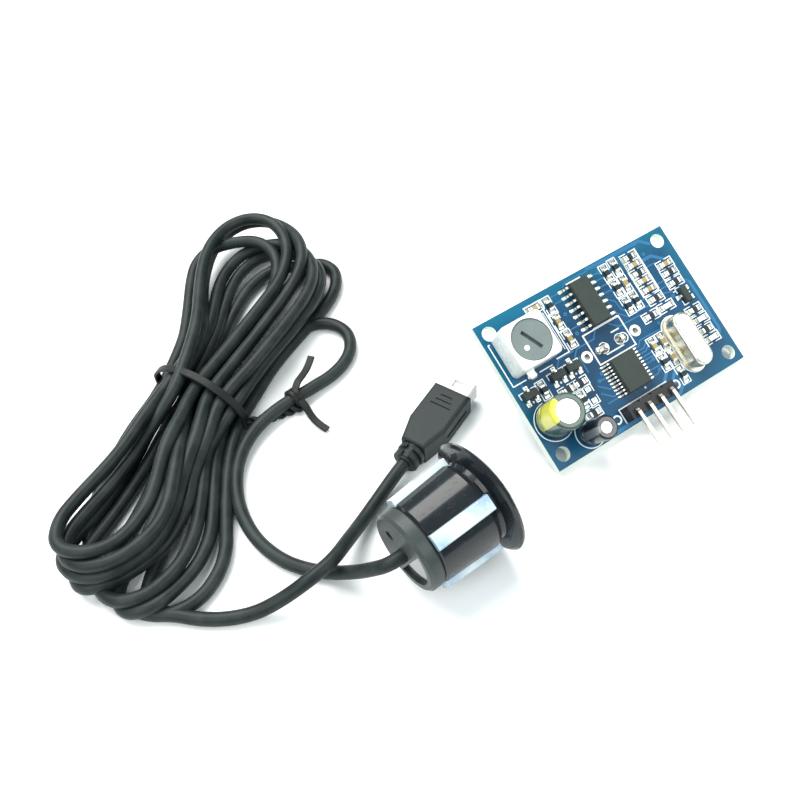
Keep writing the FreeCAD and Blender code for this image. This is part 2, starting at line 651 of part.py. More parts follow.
def ribbon(start, stop, width, thickness):
    """A flat strip between two points, its width kept level."""
    run = stop - start
    turn = FreeCAD.Rotation(run, UP.cross(run), run.cross(UP.cross(run)), "XZY")
    strip = Part.makeBox(run.Length, width, thickness, V(0, -width / 2, -thickness / 2))
    strip.Placement = FreeCAD.Placement(start, turn)
    return strip


def cable_tie():
    """A wire tie: a band round the waist, a twisted strand to a knot round the cable, two tails."""
    left, right = HANK_WAIST
    waist = (left + right) / 2
    width = (left - right).Length + 0.6
    height = HANK_WAIST_HEIGHT + 0.02
    t = TIE_THICKNESS
    outer = Part.makeBox(width + 2 * t, TIE_WIDTH, height + t, V(-width / 2 - t, -TIE_WIDTH / 2, 0.02))
    inner = Part.makeBox(width, TIE_WIDTH * 2, height - t, V(-width / 2, -TIE_WIDTH, 0.02 + t))
    outer = outer.makeFillet(2.0, [e for e in outer.Edges if e.BoundBox.YLength > 1 and e.BoundBox.ZMin > 2])
    inner = inner.makeFillet(1.6, [e for e in inner.Edges if e.BoundBox.YLength > 1 and e.BoundBox.ZMin > 2])
    band = outer.cut(inner)
    band.rotate(V(), UP, math.degrees(math.atan2(left.y - right.y, left.x - right.x)))
    band.translate(waist)
    knot = V(-32.5, 32.3, 1.85)
    along = V(1, 0.08, -0.05).normalize()
    ring = Part.makeCylinder(CABLE_D / 2 + 0.6, 1.6, knot - along * 0.8, along)
    ring = ring.cut(Part.makeCylinder(CABLE_D / 2, 4, knot - along * 2, along))
    twist = ribbon(V(-42.6, 33.2, 0.5), V(-33.2, 30.4, 0.5), TIE_WIDTH, t)
    tails = [ribbon(V(-32.2, 34.0, 2.2), V(-26.6, 36.4, 2.6), TIE_WIDTH, t),
             ribbon(V(-32.4, 30.6, 1.6), V(-31.7, 23.7, 0.8), TIE_WIDTH, t)]
    return [band, ring, twist] + tails


# ------------------------------------------------------------------ plug
def plug_body():
    half, neck = PLUG_WIDTH / 2, PLUG_NECK / 2
    wide = -(PLUG_LENGTH - PLUG_TAPER)
    z = -PLUG_THICKNESS / 2
    outline = [V(0, -half, z), V(0, half, z), V(wide, half, z), V(-PLUG_LENGTH, neck, z),
               V(-PLUG_LENGTH, -neck, z), V(wide, -half, z)]
    body = prism(outline, V(0, 0, PLUG_THICKNESS))
    body = body.makeFillet(0.7, edges_at(body, PLUG_THICKNESS / 2) + edges_at(body, z))
    for i in range(3):
        groove = Part.makeBox(0.3, 2.2 + 0.8 * i, 0.4, V(-2.3 - 1.1 * i, -1.1 - 0.4 * i, -z - 0.2))
        body = body.cut(groove)
    seam = Part.makeBox(6.5, 0.5, 0.6, V(-8.0, -half - 0.1, -0.3))
    pocket = Part.makeBox(1.2, TIP_WIDTH, TIP_THICKNESS, V(-1.2, -TIP_WIDTH / 2, -TIP_THICKNESS / 2))
    return body.cut(seam).cut(pocket)


def plug_strain_relief():
    """Two notched rings on a tapered sleeve behind the plug."""
    sleeve = Part.makeCone(1.9, 1.5, RELIEF_LENGTH, V(-PLUG_LENGTH, 0, 0), V(-1, 0, 0))
    rings = [Part.makeCylinder(RELIEF_R - 0.1 * i, 0.8, V(-PLUG_LENGTH - 0.3 - 1.5 * i, 0, 0), V(-1, 0, 0))
             for i in range(2)]
    relief = sleeve.fuse(rings)
    for i in range(2):
        notch = Part.makeBox(0.8, 1.2, 1.2, V(-PLUG_LENGTH - 1.1 - 1.5 * i, -0.6, 1.75))
        relief = relief.cut(notch)
    return relief.cut(Part.makeCylinder(CABLE_D / 2, 20, V(-PLUG_LENGTH, 0, 0), V(-1, 0, 0)))


def plug_tip():
    tip = Part.makeBox(TIP_LENGTH + 1.2, TIP_WIDTH, TIP_THICKNESS,
                       V(-1.2, -TIP_WIDTH / 2, -TIP_THICKNESS / 2))
    tip = tip.makeFillet(0.3, [e for e in tip.Edges if e.BoundBox.XLength > 2])
    for y in (-1.25, 1.25):
        tip = tip.cut(Part.makeBox(6, 1.5, 1.5, V(-1.1, y - 0.75, -0.75)))
    latch = Part.makeBox(1.6, 1.8, 0.5, V(0.8, -0.9, TIP_THICKNESS / 2 - 0.4))
    return tip.cut(latch)


def plug_contacts():
    contacts = []
    for y in (-1.25, 1.25):
        clip = Part.makeBox(3.6, 1.3, 1.3, V(-1.1, y - 0.65, -0.65))
        contacts.append(clip.cut(Part.makeBox(4, 0.9, 0.9, V(-0.6, y - 0.45, -0.45))))
    return contacts


# ------------------------------------------------------------------ build
os.makedirs("parts", exist_ok=True)

BOARD = board_placement()
PROBE = probe_placement()
PLUG = plug_placement()

board_nodes = {
    "circuit_board": circuit_board(),
    "solder_joints": solder_joints(),
    "transformer_can": transformer_can(),
    "transformer_base": transformer_base(),
    "transformer_bobbin": transformer_bobbin(),
    "transformer_winding": transformer_winding(),
    "transformer_pins": transformer_pins(),
    "tuning_core": tuning_core(),
    "opamp_body": chip_body(OPAMP_AT, OPAMP),
    "opamp_leads": chip_leads(OPAMP_AT, OPAMP),
    "controller_body": chip_body(CONTROLLER_AT, CONTROLLER),
    "controller_leads": chip_leads(CONTROLLER_AT, CONTROLLER),
    "transistor_bodies": transistor_bodies(),
    "transistor_leads": transistor_leads(),
    "resistor_bodies": chip_bodies(RESISTORS),
    "resistor_ends": chip_ends(RESISTORS),
    "ceramic_capacitor_bodies": chip_bodies(CERAMIC_CAPACITORS),
    "ceramic_capacitor_ends": chip_ends(CERAMIC_CAPACITORS),
    "led_bodies": chip_bodies(LEDS),
    "led_ends": chip_ends(LEDS),
    "crystal_can": crystal_can(),
    "crystal_base": crystal_base(),
    "crystal_leads": crystal_leads(),
    "header_block": header_block(),
    "header_pins": header_pins(),
    "cable_socket_housing": cable_socket_housing(),
    "socket_contacts": socket_contacts(),
}
bungs, capacitor_leads = [], []
for name, capacitor in (("large", LARGE_CAPACITOR), ("small", SMALL_CAPACITOR)):
    sleeve, can, bung, leads = capacitor_parts(capacitor)
    board_nodes[name + "_capacitor_sleeve"] = sleeve
    board_nodes[name + "_capacitor_can"] = can
    bungs.append(bung)
    capacitor_leads += leads
board_nodes["capacitor_bungs"] = bungs
board_nodes["capacitor_leads"] = capacitor_leads

probe_nodes = {
    "sensor_barrel": sensor_barrel(),
    "sensor_flange": sensor_flange(),
    "membrane_cup": membrane_cup(),
    "isolation_ring": isolation_ring(),
    "piezo_disc": piezo_disc(),
    "damping_pad": damping_pad(),
    "inner_wires": inner_wires(),
    "potting": potting(),
    "rear_cap": rear_cap(),
    "rear_resin": rear_resin(),
    "side_strips": side_strips(),
}
plug_nodes = {
    "plug_body": plug_body(),
    "plug_strain_relief": plug_strain_relief(),
    "plug_tip": plug_tip(),
    "plug_contacts": plug_contacts(),
}
cable_nodes = {
    "sensor_cable": sensor_cable(),
    "cable_hank": cable_hank(),
    "plug_cable": plug_cable(),
    "cable_tie": cable_tie(),
}

standing = []
for nodes, placement in ((board_nodes, BOARD), (probe_nodes, PROBE)):
    for node, solids in nodes.items():
        standing.append(save(node, solids, placement))
for node, solids in plug_nodes.items():
    save(node, solids, PLUG)
for node, solids in cable_nodes.items():
    save(node, solids)

box = Part.makeCompound(standing).BoundBox
print("board and probe: x %.2f %.2f, y %.2f %.2f, z %.2f %.2f"
      % (box.XMin, box.XMax, box.YMin, box.YMax, box.ZMin, box.ZMax))
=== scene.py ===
"""Looks for an ultrasonic distance sensor: its board, its waterproof probe and its tied cable."""

import json
import math

import bmesh
import bpy
from mathutils import Matrix, Vector


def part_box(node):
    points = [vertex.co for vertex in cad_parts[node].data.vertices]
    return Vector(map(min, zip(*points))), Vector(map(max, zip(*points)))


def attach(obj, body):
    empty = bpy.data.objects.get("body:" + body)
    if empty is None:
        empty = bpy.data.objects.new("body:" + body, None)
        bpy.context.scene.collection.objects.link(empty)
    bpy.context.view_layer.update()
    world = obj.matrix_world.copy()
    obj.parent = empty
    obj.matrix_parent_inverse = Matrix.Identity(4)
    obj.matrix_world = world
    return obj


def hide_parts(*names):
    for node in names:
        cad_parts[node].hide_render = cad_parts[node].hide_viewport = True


bl_info = {
    "name": "Distance Sensor Looks",
    "version": (1, 0, 0),
    "blender": (4, 5, 0),
    "location": "3D View > Sidebar > Sensor",
    "description": "Builds the finishes, printed lines, solder and cable of a distance sensor",
    "category": "Object",
}

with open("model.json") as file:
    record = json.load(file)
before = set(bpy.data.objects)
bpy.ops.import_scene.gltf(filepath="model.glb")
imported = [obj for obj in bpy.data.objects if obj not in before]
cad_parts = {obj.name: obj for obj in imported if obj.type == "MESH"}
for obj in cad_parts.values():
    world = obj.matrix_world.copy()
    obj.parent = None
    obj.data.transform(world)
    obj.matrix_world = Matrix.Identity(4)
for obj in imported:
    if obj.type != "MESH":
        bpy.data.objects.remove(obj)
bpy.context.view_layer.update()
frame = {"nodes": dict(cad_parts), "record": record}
NODES = frame["nodes"]
MOUNTS = {mount["name"]: mount for mount in frame["record"]["mounts"]}
ROOT, CORE = "board_and_probe", "tuning_core_body"
MM = 0.001

# Board sizes in millimetres: x along the long side, y away from the pin header, z above the top face.
BOARD_LENGTH, BOARD_WIDTH, BOARD_THICKNESS, HOLE_INSET = 42.0, 28.0, 1.6, 2.2
TRACK_TOP, PAD_TOP, PRINT_TOP, SUNK = 0.03, 0.05, 0.045, -0.01
THIN_TRACK, WIDE_TRACK, VIA_HOLE, VIA_EDGE = 0.24, 0.62, 0.13, 0.34
CHIP_END_AT, CHIP_PAD_AT, CHIP_WIDTH = 0.8, 1.08, 0.85

RESISTORS = (
    (33.0, 25.7, "x"), (32.9, 22.4, "x"), (33.1, 17.0, "x"), (38.4, 19.8, "x"), (38.3, 17.8, "x"),
    (38.5, 11.8, "x"), (38.3, 7.7, "x"), (30.4, 14.7, "x"), (11.7, 10.9, "x"), (9.1, 10.9, "x"),
    (10.9, 5.3, "x"), (29.5, 25.3, "y"), (29.5, 18.4, "y"), (27.4, 25.1, "y"), (27.5, 22.0, "y"),
    (27.6, 18.3, "y"), (27.7, 6.6, "y"), (14.5, 25.0, "y"), (5.3, 13.0, "y"), (10.5, 8.1, "y"),
    (29.5, 3.1, "y"))
CERAMICS = (
    (33.0, 24.1, "x"), (32.9, 20.8, "x"), (32.9, 19.0, "x"), (38.5, 21.5, "x"), (11.8, 25.9, "x"),
    (29.5, 22.0, "y"), (27.7, 9.8, "y"), (29.7, 9.8, "y"), (29.7, 6.6, "y"), (14.3, 21.9, "y"),
    (14.5, 18.3, "y"))
LEDS = ((34.1, 14.8, "x"), (38.6, 9.8, "x"), (38.5, 5.9, "x"))
EMPTY_PLACES = ((12.4, 8.2, "y"),)
TRANSISTORS = ((38.4, 15.0, 90), (12.1, 13.9, 0), (8.8, 13.9, 0), (2.6, 13.4, 0))
OPAMP = {"at": (21.1, 22.3), "pins": 7, "pitch": 1.27, "foot": 3.15, "pad": (1.5, 0.62)}
CONTROLLER = {"at": (20.5, 8.3), "pins": 10, "pitch": 0.65, "foot": 3.5, "pad": (1.2, 0.36)}
HEADER_XS = tuple(16.84 + 2.54 * i for i in range(4))
SOCKET_CONTACTS = ((19.2, 14.0), (22.7, 14.0))
SOCKET_RINGS = ((15.5, 14.1), (26.2, 13.9))
SPARE_RINGS = ((14.1, 2.24), (27.35, 2.2))
LARGE_CAPACITOR_AT, SMALL_CAPACITOR_AT = (3.9, 7.9), (8.3, 2.9)
CRYSTAL_OUTLINE = ((30.72 + 35.2) / 2, 4.5, 10.7)
VIAS = ((16.3, 22.4), (16.3, 18.5), (26.1, 25.9), (15.1, 9.5), (26.3, 8.0), (26.2, 5.9), (16.2, 10.4),
        (31.0, 12.9), (36.4, 15.8), (9.0, 1.2), (24.6, 1.0), (13.0, 20.1), (35.9, 24.9))

# Printed lines: the width of each, then its points.
PRINT_LINES = (
    (0.24, (19.0, 12.75), (22.9, 12.75)), (0.24, (21.9, 15.7), (23.7, 15.7)),
    (0.2, (15.3, 0.9), (15.3, 3.55), (26.0, 3.55)), (0.2, (26.1, 0.9), (26.1, 1.6)),
    (0.2, (0.85, 15.95), (0.85, 24.1), (1.2, 24.1)), (0.2, (0.85, 15.95), (3.6, 15.95)),
    (0.2, (6.4, 15.95), (9.2, 15.95)), (0.2, (10.4, 16.45), (13.2, 16.45), (13.2, 26.7), (9.9, 26.7)),
    (0.13, (12.75, 17.2), (12.75, 24.6)), (0.2, (31.3, 18.2), (31.3, 26.7)),
    (0.2, (34.85, 18.2), (34.85, 26.7)), (0.24, (19.4, 26.85), (22.6, 26.85)),
    (0.2, (19.4, 17.75), (24.8, 17.75)), (0.16, (36.8, 16.3), (37.5, 16.3)))

# Tracks on the top face: points along each, then the width of those that are not thin.
TRACKS = (
    ((15.4, 26.2), (17.2, 26.2)), ((15.4, 24.8), (17.2, 24.8)), ((15.4, 19.6), (17.2, 19.6)),
    ((18.5, 26.6), (19.3, 27.3), (26.4, 27.1), (27.4, 26.4)),
    ((9.6, 15.1), (10.7, 16.2), (13.9, 16.2)), ((13.4, 15.0), (14.6, 16.2), (18.4, 16.2), (19.4, 17.3)),
    ((24.6, 26.1), (26.1, 25.9)), ((24.8, 24.8), (26.4, 24.8)), ((24.8, 23.5), (26.5, 23.5)),
    ((24.8, 22.2), (26.2, 22.2), (26.9, 21.4)),
    ((24.8, 21.0), (25.9, 20.2), (26.1, 18.4), (26.8, 17.5)),
    ((24.6, 18.5), (26.5, 16.6), (31.4, 16.5)), ((22.4, 17.3), (24.0, 15.9), (28.6, 15.8), (29.4, 15.0)),
    ((34.9, 22.6), (37.0, 22.6)), ((34.9, 19.0), (36.9, 19.0)), ((30.2, 17.9), (36.9, 17.9)),
    ((34.9, 17.1), (36.6, 16.6), (37.4, 16.0)), ((39.7, 17.5), (40.6, 16.7)),
    ((15.1, 9.5), (16.9, 9.3)), ((14.3, 8.9), (16.0, 7.4), (17.0, 7.4)),
    ((14.1, 7.5), (15.8, 6.0), (17.0, 6.0)), ((14.2, 5.4), (16.9, 5.4)),
    ((24.2, 11.2), (25.1, 11.2), (25.9, 12.0), (30.9, 11.9)), ((24.2, 10.5), (25.8, 10.5), (26.8, 11.2)),
    ((24.2, 9.9), (25.9, 9.9), (26.8, 10.5)), ((24.2, 9.2), (26.9, 9.2)), ((24.2, 8.6), (26.8, 8.5)),
    ((24.2, 7.9), (25.6, 7.9), (26.3, 8.0)), ((24.2, 6.6), (27.0, 6.5)),
    ((24.2, 5.4), (25.5, 5.4), (26.2, 5.9)),
    ((14.2, 14.9), (14.2, 11.7)), ((13.0, 12.9), (12.7, 11.7)), ((2.3, 15.0), (2.3, 16.3)),
    ((3.6, 12.2), (3.0, 11.0)), ((35.0, 6.0), (36.9, 5.9)), ((35.2, 9.8), (36.9, 9.8)))
WIDE_TRACKS = (
    ((34.8, 24.0), (37.0, 24.0), (38.9, 22.4)), ((40.1, 17.3), (40.9, 16.5), (40.9, 6.6), (40.1, 5.8)),
    ((27.1, 4.9), (25.7, 3.6)), ((29.0, 4.6), (27.3, 3.1), (27.3, 2.2)),
    ((28.6, 1.6), (27.2, 0.5), (12.4, 0.5)),
    ((10.1, 7.0), (10.1, 4.4)), ((24.2, 27.4), (36.5, 27.4), (38.2, 25.9)))

# Cable: diameter, and its free stretches as far as the hank and on to the plug.
CABLE_D = 2.3 * MM
PROBE_ROUTE = (
    (-41.3, -7.3, 6.9), (-43.0, -4.4, 3.6), (-45.2, -1.6, 1.6), (-48.0, 1.2, 1.2),
    (-50.7, 5.2, 1.2), (-52.3, 11.0, 1.2), (-51.8, 17.6, 1.2), (-49.5, 23.4, 1.3),
    (-45.9, 27.8, 1.7), (-41.2, 30.6, 2.0), (-35.6, 32.0, 2.0), (-29.4, 32.5, 1.6),
    (-23.6, 33.2, 1.2), (-18.8, 35.7, 1.2), (-16.4, 40.0, 1.2), (-17.6, 44.4, 1.2),
    (-21.4, 46.6, 1.2))
PLUG_ROUTE = (
    (-69.0, 6.8, 1.2), (-66.2, 3.8, 1.2), (-62.7, 1.3, 1.2), (-58.4, -0.6, 1.4),
    (-54.0, -1.9, 3.3), (-49.6, -2.8, 5.8), (-44.9, -2.1, 6.0), (-40.9, 0.6, 4.0),
    (-37.3, 3.0, 2.1), (-32.8, 5.3, 1.7), (-28.2, 7.3, 2.2))
PLUG_LENGTH, RELIEF_LENGTH, TIP_LENGTH, PROBE_LENGTH = 13.2, 3.0, 3.2, 16.0

# The wire tie: its band's arch, the ends of its twisted strand, its knot round the cable, its two tails.
ARCH_FOOT, ARCH_RISE, ARCH_HALF, BAND_HALF = 1.3, 7.5, 10.4, 9.9
TIE_STRAND, TIE_KNOT = ((-43.0, 33.0, 1.3), (-32.6, 30.6, 0.95)), (-32.6, 32.3, 1.75)
TIE_TAILS = (
    ((-33.4, 31.2, 2.6), (-31.6, 33.4, 3.7), (-29.6, 34.6, 3.4), (-27.4, 36.2, 3.0), (-25.9, 37.6, 3.4)),
    ((-33.0, 33.0, 2.9), (-32.0, 30.4, 2.3), (-32.2, 27.6, 1.2), (-31.9, 25.6, 0.7), (-31.2, 23.6, 0.6)))

# The hank in its own plan: along it from the waist to the head, across it to the left, and height.
# TURN_ORDER is the order in which the cable lays them, lowest first.
WAIST_LEFT, WAIST_RIGHT = Vector((-52.0, 49.2, 0)), Vector((-42.6, 33.4, 0))
TURN_ORDER = (6, 5, 4, 3, 2, 0, 1)
HANK_ENTRY = ((17, -4.6, 1.2), (9, -3.9, 1.2))
TUCKED_END = (
    (0, 8.5, 1.25), (-10, 8.4, 1.2), (-20, 6.6, 1.2), (-29, 3.6, 1.2), (-35.4, -2.5, 1.2),
    (-38.2, -9.5, 1.2), (-38.2, -14.6, 1.2))
# Each turn of the hank: along, across and height, from the waist round the foot, back, round the head.
TURNS = (
    ((-1.3, 4.8, 6.2), (-5.7, 4.4, 6.8), (-10.1, 4, 7.1), (-14.1, 3.9, 6.6), (-18.2, 4.2, 6.2),
     (-22.6, 4.7, 6.1), (-27.2, 5.1, 6.3), (-32, 4.9, 6.8), (-36.2, 2.3, 7.4), (-35.9, -2.7, 7.8),
     (-32.6, -6.3, 7.7), (-28.2, -7.4, 7.6), (-23.6, -7.2, 7.7), (-19.6, -6, 8), (-15.8, -4.6, 8.4),
     (-11.6, -3.4, 8.7), (-6.8, -2.4, 8), (-2, -0.8, 7.1), (3, -0.3, 6.5), (8.1, -0.3, 6), (13.2, -0.3, 5.7),
     (18.2, -0.3, 5.6), (23.2, -0.4, 5.6), (28, -0.6, 5.8), (32.6, 0.2, 6), (36.8, 1.9, 6.4), (40, 4.7, 6.9),
     (42.4, 8.9, 6.9), (41.7, 13.5, 6.9), (37.7, 16.2, 7.1), (32.7, 16.5, 7.3), (28.2, 15.5, 7.2),
     (23.9, 13.6, 7.3), (19.2, 11, 7.5), (14.4, 8, 8), (9.3, 5.6, 8.2)),
    ((-1.2, 2.3, 7.7), (-5.4, 2.4, 6.5), (-9.4, 3, 4.9), (-14, 2.8, 4.3), (-18.6, 2.8, 4.1), (-23.2, 3, 4.1),
     (-27.8, 3.4, 4.3), (-32.4, 3.3, 4.8), (-36.7, 1.2, 5.4), (-37.2, -3.6, 6.3), (-34.4, -8, 7.1),
     (-30.3, -10.2, 7.5), (-25.9, -11, 7.7), (-21.8, -10, 7.9), (-17.9, -8.2, 8.1), (-13.9, -6.2, 7.8),
     (-9.1, -3.7, 6.5), (-4.5, -1.3, 5.3), (-0.1, 0.9, 4.5), (5, 0.7, 3.9), (10, 0.4, 3.5), (14.8, 0.3, 3.4),
     (19.8, 0.3, 3.4), (24.7, 0.5, 3.5), (29.3, 1.1, 3.8), (33.5, 2.6, 4.2), (36.8, 5.4, 4.8),
     (37.6, 9.5, 5.5), (35.5, 13.8, 5.4), (32, 17.3, 5.3), (27.6, 17.9, 5), (23.6, 16.6, 4), (19.8, 14.8, 3),
     (15.7, 12.9, 2.1), (11.6, 11.3, 1.3)),
    ((-1.4, 4.3, 4), (-5.4, 4.7, 3), (-9.6, 4.5, 2.3), (-14, 3.9, 1.8), (-18.6, 3.4, 1.6), (-23.2, 3.1, 1.6),
     (-27.8, 3.2, 1.9), (-32.4, 3.4, 2.5), (-36.7, 2.6, 3.2), (-38.4, -2.5, 4.2), (-36.3, -7.4, 5.1),
     (-32.2, -10, 5.3), (-27.8, -11.1, 5.4), (-23.2, -10.7, 5.6), (-19, -9.3, 5.9), (-14.8, -7.9, 6.3),
     (-10.4, -6.8, 6.7), (-5.8, -5.2, 6.7), (-1, -3.3, 6.3), (4.1, -2.9, 5.7), (9.1, -2.9, 5.3),
     (14, -3, 5.1),
     (18.8, -3.1, 5.1), (23.5, -3.3, 5.3), (28.1, -3.4, 5.7), (32.4, -3.1, 6.3), (36.2, -1.9, 7),
     (39.9, 1.1, 6.8), (43, 5.9, 5.6), (44, 11.1, 4.8), (42.3, 15.6, 4.2), (38.1, 18, 3.7), (33.3, 18, 3.4),
     (28.3, 16.3, 3.4), (23.1, 13.5, 4.3), (18, 9.9, 5.5), (13.2, 6.7, 6.1), (8.9, 5.3, 6.2)),
    ((-0.9, 2.4, 2.7), (-5.4, 2.2, 2.6), (-9.7, 1.8, 2.1), (-14, 1.3, 1.6), (-18.5, 1, 1.3), (-23, 0.8, 1.2),
     (-27.5, 0.8, 1.2), (-31.9, 1, 1.3), (-36.7, 0.4, 1.5), (-39.4, -3.4, 2.5), (-36.4, -7.7, 3.4),
     (-32.1, -9.9, 3), (-27.8, -11.7, 3.4), (-23.4, -11.6, 3.6), (-19, -10.9, 4.2), (-15.1, -8.9, 4.6),
     (-10.8, -8.1, 5.1), (-6.2, -7, 5.4), (-1.5, -5.6, 5.6), (2.9, -5.9, 6), (7, -6.9, 6.7), (11.5, -7.4, 7),
     (16.2, -7.7, 7), (21.1, -7.8, 6.8), (25.9, -7.6, 6.4), (30.9, -6.7, 6), (35.2, -4.6, 5.7),
     (38.5, -1, 5.1), (39.9, 3.7, 4.6), (38.9, 8.4, 3.7), (35.6, 11.9, 3.1), (30.6, 12.5, 3.2),
     (25.5, 11.4, 3.6), (20.6, 9.2, 4.1), (15.9, 7, 4.4), (11.3, 5.9, 4.3)),
    ((0, 1.2, 1.2), (-4.7, 0.5, 1.2), (-9.4, -0.3, 1.2), (-14.1, -1.2, 1.2), (-18.8, -2.2, 1.2),
     (-23.5, -3, 1.2), (-28.1, -3.4, 1.2), (-32.7, -3.4, 1.2), (-37.3, -4.4, 1.3), (-39.2, -9.6, 2.9),
     (-36.6, -14, 3.8), (-32, -15.8, 3.9), (-27.1, -15.7, 3.4), (-22.4, -14.3, 3.1), (-18.1, -12.3, 3.1),
     (-13.8, -10.1, 3.2), (-9.8, -7.8, 3.2), (-5.1, -7.5, 3.6), (-0.3, -7.5, 4), (4.2, -7.5, 4.4),
     (8.9, -7.5, 4.8), (13.5, -7.9, 5), (18.4, -8.4, 4.9), (23.2, -8.5, 4.7), (28.2, -8.4, 4.3),
     (33.2, -7.3, 4.1), (37, -4.6, 3.9), (39.1, 0.1, 3.1), (39.4, 5.5, 2.1), (36.5, 9.4, 1.8),
     (31.7, 10.6, 1.8), (26.5, 9.8, 2), (21.4, 8, 2.5), (16.2, 6, 2.9), (11.6, 4.9, 2.7)),
    ((0, -1.1, 1.2), (-4.6, -1.9, 1.2), (-9.2, -2.9, 1.2), (-13.8, -4, 1.2), (-18.4, -5, 1.2), (-23, -6, 1.2),
     (-27.6, -6.9, 1.2), (-32.2, -7.3, 1.2), (-37, -8.1, 1.2), (-39.7, -11.6, 1.4), (-37.1, -16.1, 3.1),
     (-32.1, -17.2, 2.2), (-27.4, -17.7, 1.9), (-22.6, -16.8, 1.8), (-18.5, -14.6, 1.9), (-14.5, -12.3, 1.9),
     (-10.4, -9.9, 1.9), (-6, -7.9, 1.6), (-1.9, -6.5, 1.7), (2.6, -6.3, 2.4), (7.6, -6.7, 2.8),
     (12.2, -6.9, 3.1), (16.8, -7.1, 3.1), (21.6, -7.3, 3), (26.6, -7.3, 2.6), (31.7, -6.7, 2.2),
     (36, -4.7, 2), (36.9, -0.9, 2.7), (35.6, 3.8, 2.1), (31.7, 6.5, 1.6), (27, 7, 1.3), (22.4, 6.4, 1.2),
     (17.8, 5.6, 1.2), (13.2, 4.5, 1.2)),
    ((0, -3.4, 1.2), (-4.7, -4.4, 1.2), (-9.3, -5.6, 1.2), (-13.8, -7, 1.2), (-18.4, -8.3, 1.2),
     (-23, -9.5, 1.2), (-27.7, -10.6, 1.2), (-32.4, -11.5, 1.2), (-37, -13.5, 1.2), (-37, -17.9, 1.2),
     (-32.9, -20.9, 1.2), (-28, -21.4, 1.2), (-23.4, -20.2, 1.2), (-19.4, -17.6, 1.2), (-15.3, -15.1, 1.2),
     (-11.2, -12.7, 1.2), (-6.9, -10.6, 1.2), (-2.5, -9.1, 1.2), (2.1, -8.2, 1.2), (6.9, -8, 1.2),
     (11.6, -7.6, 1.2), (16.4, -7.8, 1.2), (21.1, -8.3, 1.2), (25.9, -8.9, 1.2), (30.6, -9.4, 1.2),
     (35.6, -8.9, 1.2), (40, -6.4, 1.2), (40.5, -1.8, 1.2), (35.8, -0.2, 1.2), (30.9, -0.1, 1.2),
     (26.2, 0.1, 1.2), (21.4, 0.5, 1.2), (16.7, 0.7, 1.2), (11.9, 0.4, 1.2)))


# ------------------------------------------------------------------ places
def board_matrix():
    """The board's own frame, in metres, from three of its screw holes."""
    near, right, far = (Vector(MOUNTS["screw_hole_" + n]["pos_m"])
                        for n in ("front_left", "front_right", "back_left"))
    x, y = (right - near).normalized(), (far - near).normalized()
    z = x.cross(y)
    corner = near + (z * BOARD_THICKNESS / 2 - (x + y) * HOLE_INSET) * MM
    return Matrix.Translation(corner) @ Matrix((x, y, z)).transposed().to_4x4()


BOARD = board_matrix()


# ------------------------------------------------------------------ shader maths
class Sock:
    """A shader socket that can be used in Python expressions."""

    def __init__(self, finish, socket):
        self.finish = finish
        self.socket = socket

    def _math(self, operation, first, second=0.0):
        return self.finish.node("ShaderNodeMath", {"operation": operation}, {0: first, 1: second})

    def __add__(self, other):
        return self._math("ADD", self, other)

    __radd__ = __add__

    def __sub__(self, other):
        return self._math("SUBTRACT", self, other)

    def __rsub__(self, other):
        return self._math("SUBTRACT", other, self)

    def __mul__(self, other):
        return self._math("MULTIPLY", self, other)

    __rmul__ = __mul__

    def __truediv__(self, other):
        return self._math("DIVIDE", self, other)

    def __gt__(self, other):
        return self._math("GREATER_THAN", self, other)

    def __lt__(self, other):
        return self._math("LESS_THAN", self, other)

    def least(self, other):
        return self._math("MINIMUM", self, other)

    def most(self, other):
        return self._math("MAXIMUM", self, other)

    def size(self):
        return self._math("ABSOLUTE", self)

    def ramp(self, low, high):
        """0 at low, 1 at high, smooth between them."""
        return self.finish.node("ShaderNodeMapRange", {"interpolation_type": "SMOOTHSTEP"},
                                {"Value": self, "From Min": low, "From Max": high})


class Finish:
    """One procedural material on a Principled shader."""

    def __init__(self, name, **constants):
        self.material = bpy.data.materials.new(name)
        self.material.use_nodes = True
        self.tree = self.material.node_tree
        self.shader = self.tree.nodes["Principled BSDF"]
        for socket, value in constants.items():
            self.shader.inputs[socket.replace("_", " ").title().replace("Ior", "IOR")].default_value = value

    def node(self, kind, settings=None, inputs=None, out=0):
        made = self.tree.nodes.new(kind)
        for key, value in (settings or {}).items():
            setattr(made, key, value)
        for key, value in (inputs or {}).items():
            if isinstance(value, Sock):
                self.tree.links.new(value.socket, made.inputs[key])
            else:
                made.inputs[key].default_value = value
        return Sock(self, made.outputs[out])

    def place(self):
        return self.node("ShaderNodeTexCoord", out="Object")

    def noise(self, scale, detail=3.0, vector=None, rough=0.55):
        return self.node("ShaderNodeTexNoise", {}, {"Vector": vector or self.place(), "Scale": scale,
                                                    "Detail": detail, "Roughness": rough})

    def stretched(self, factors, vector=None):
        return self.node("ShaderNodeVectorMath", {"operation": "MULTIPLY"},
                         {0: vector or self.place(), 1: factors})

    def along(self, direction, offset, vector=None):
        """Distance along a direction from a plane through the origin, less an offset."""
        dot = self.node("ShaderNodeVectorMath", {"operation": "DOT_PRODUCT"},
                        {0: vector or self.place(), 1: direction}, out="Value")
        return dot - offset

    def mix(self, first, second, factor):
        ends = [value if isinstance(value, Sock) else (*value, 1) for value in (first, second)]
        return self.node("ShaderNodeMix", {"data_type": "RGBA"}, {0: factor, 6: ends[0], 7: ends[1]}, out=2)

    def feed(self, socket, value):
        self.tree.links.new(value.socket, self.shader.inputs[socket])
        return self

    def bump(self, height, distance, strength=1.0):
        normal = self.node("ShaderNodeBump", {},
                           {"Height": height, "Distance": distance, "Strength": strength})
        return self.feed("Normal", normal)


def shade(colour, factor):
    return tuple(min(1.0, channel * factor) for channel in colour)


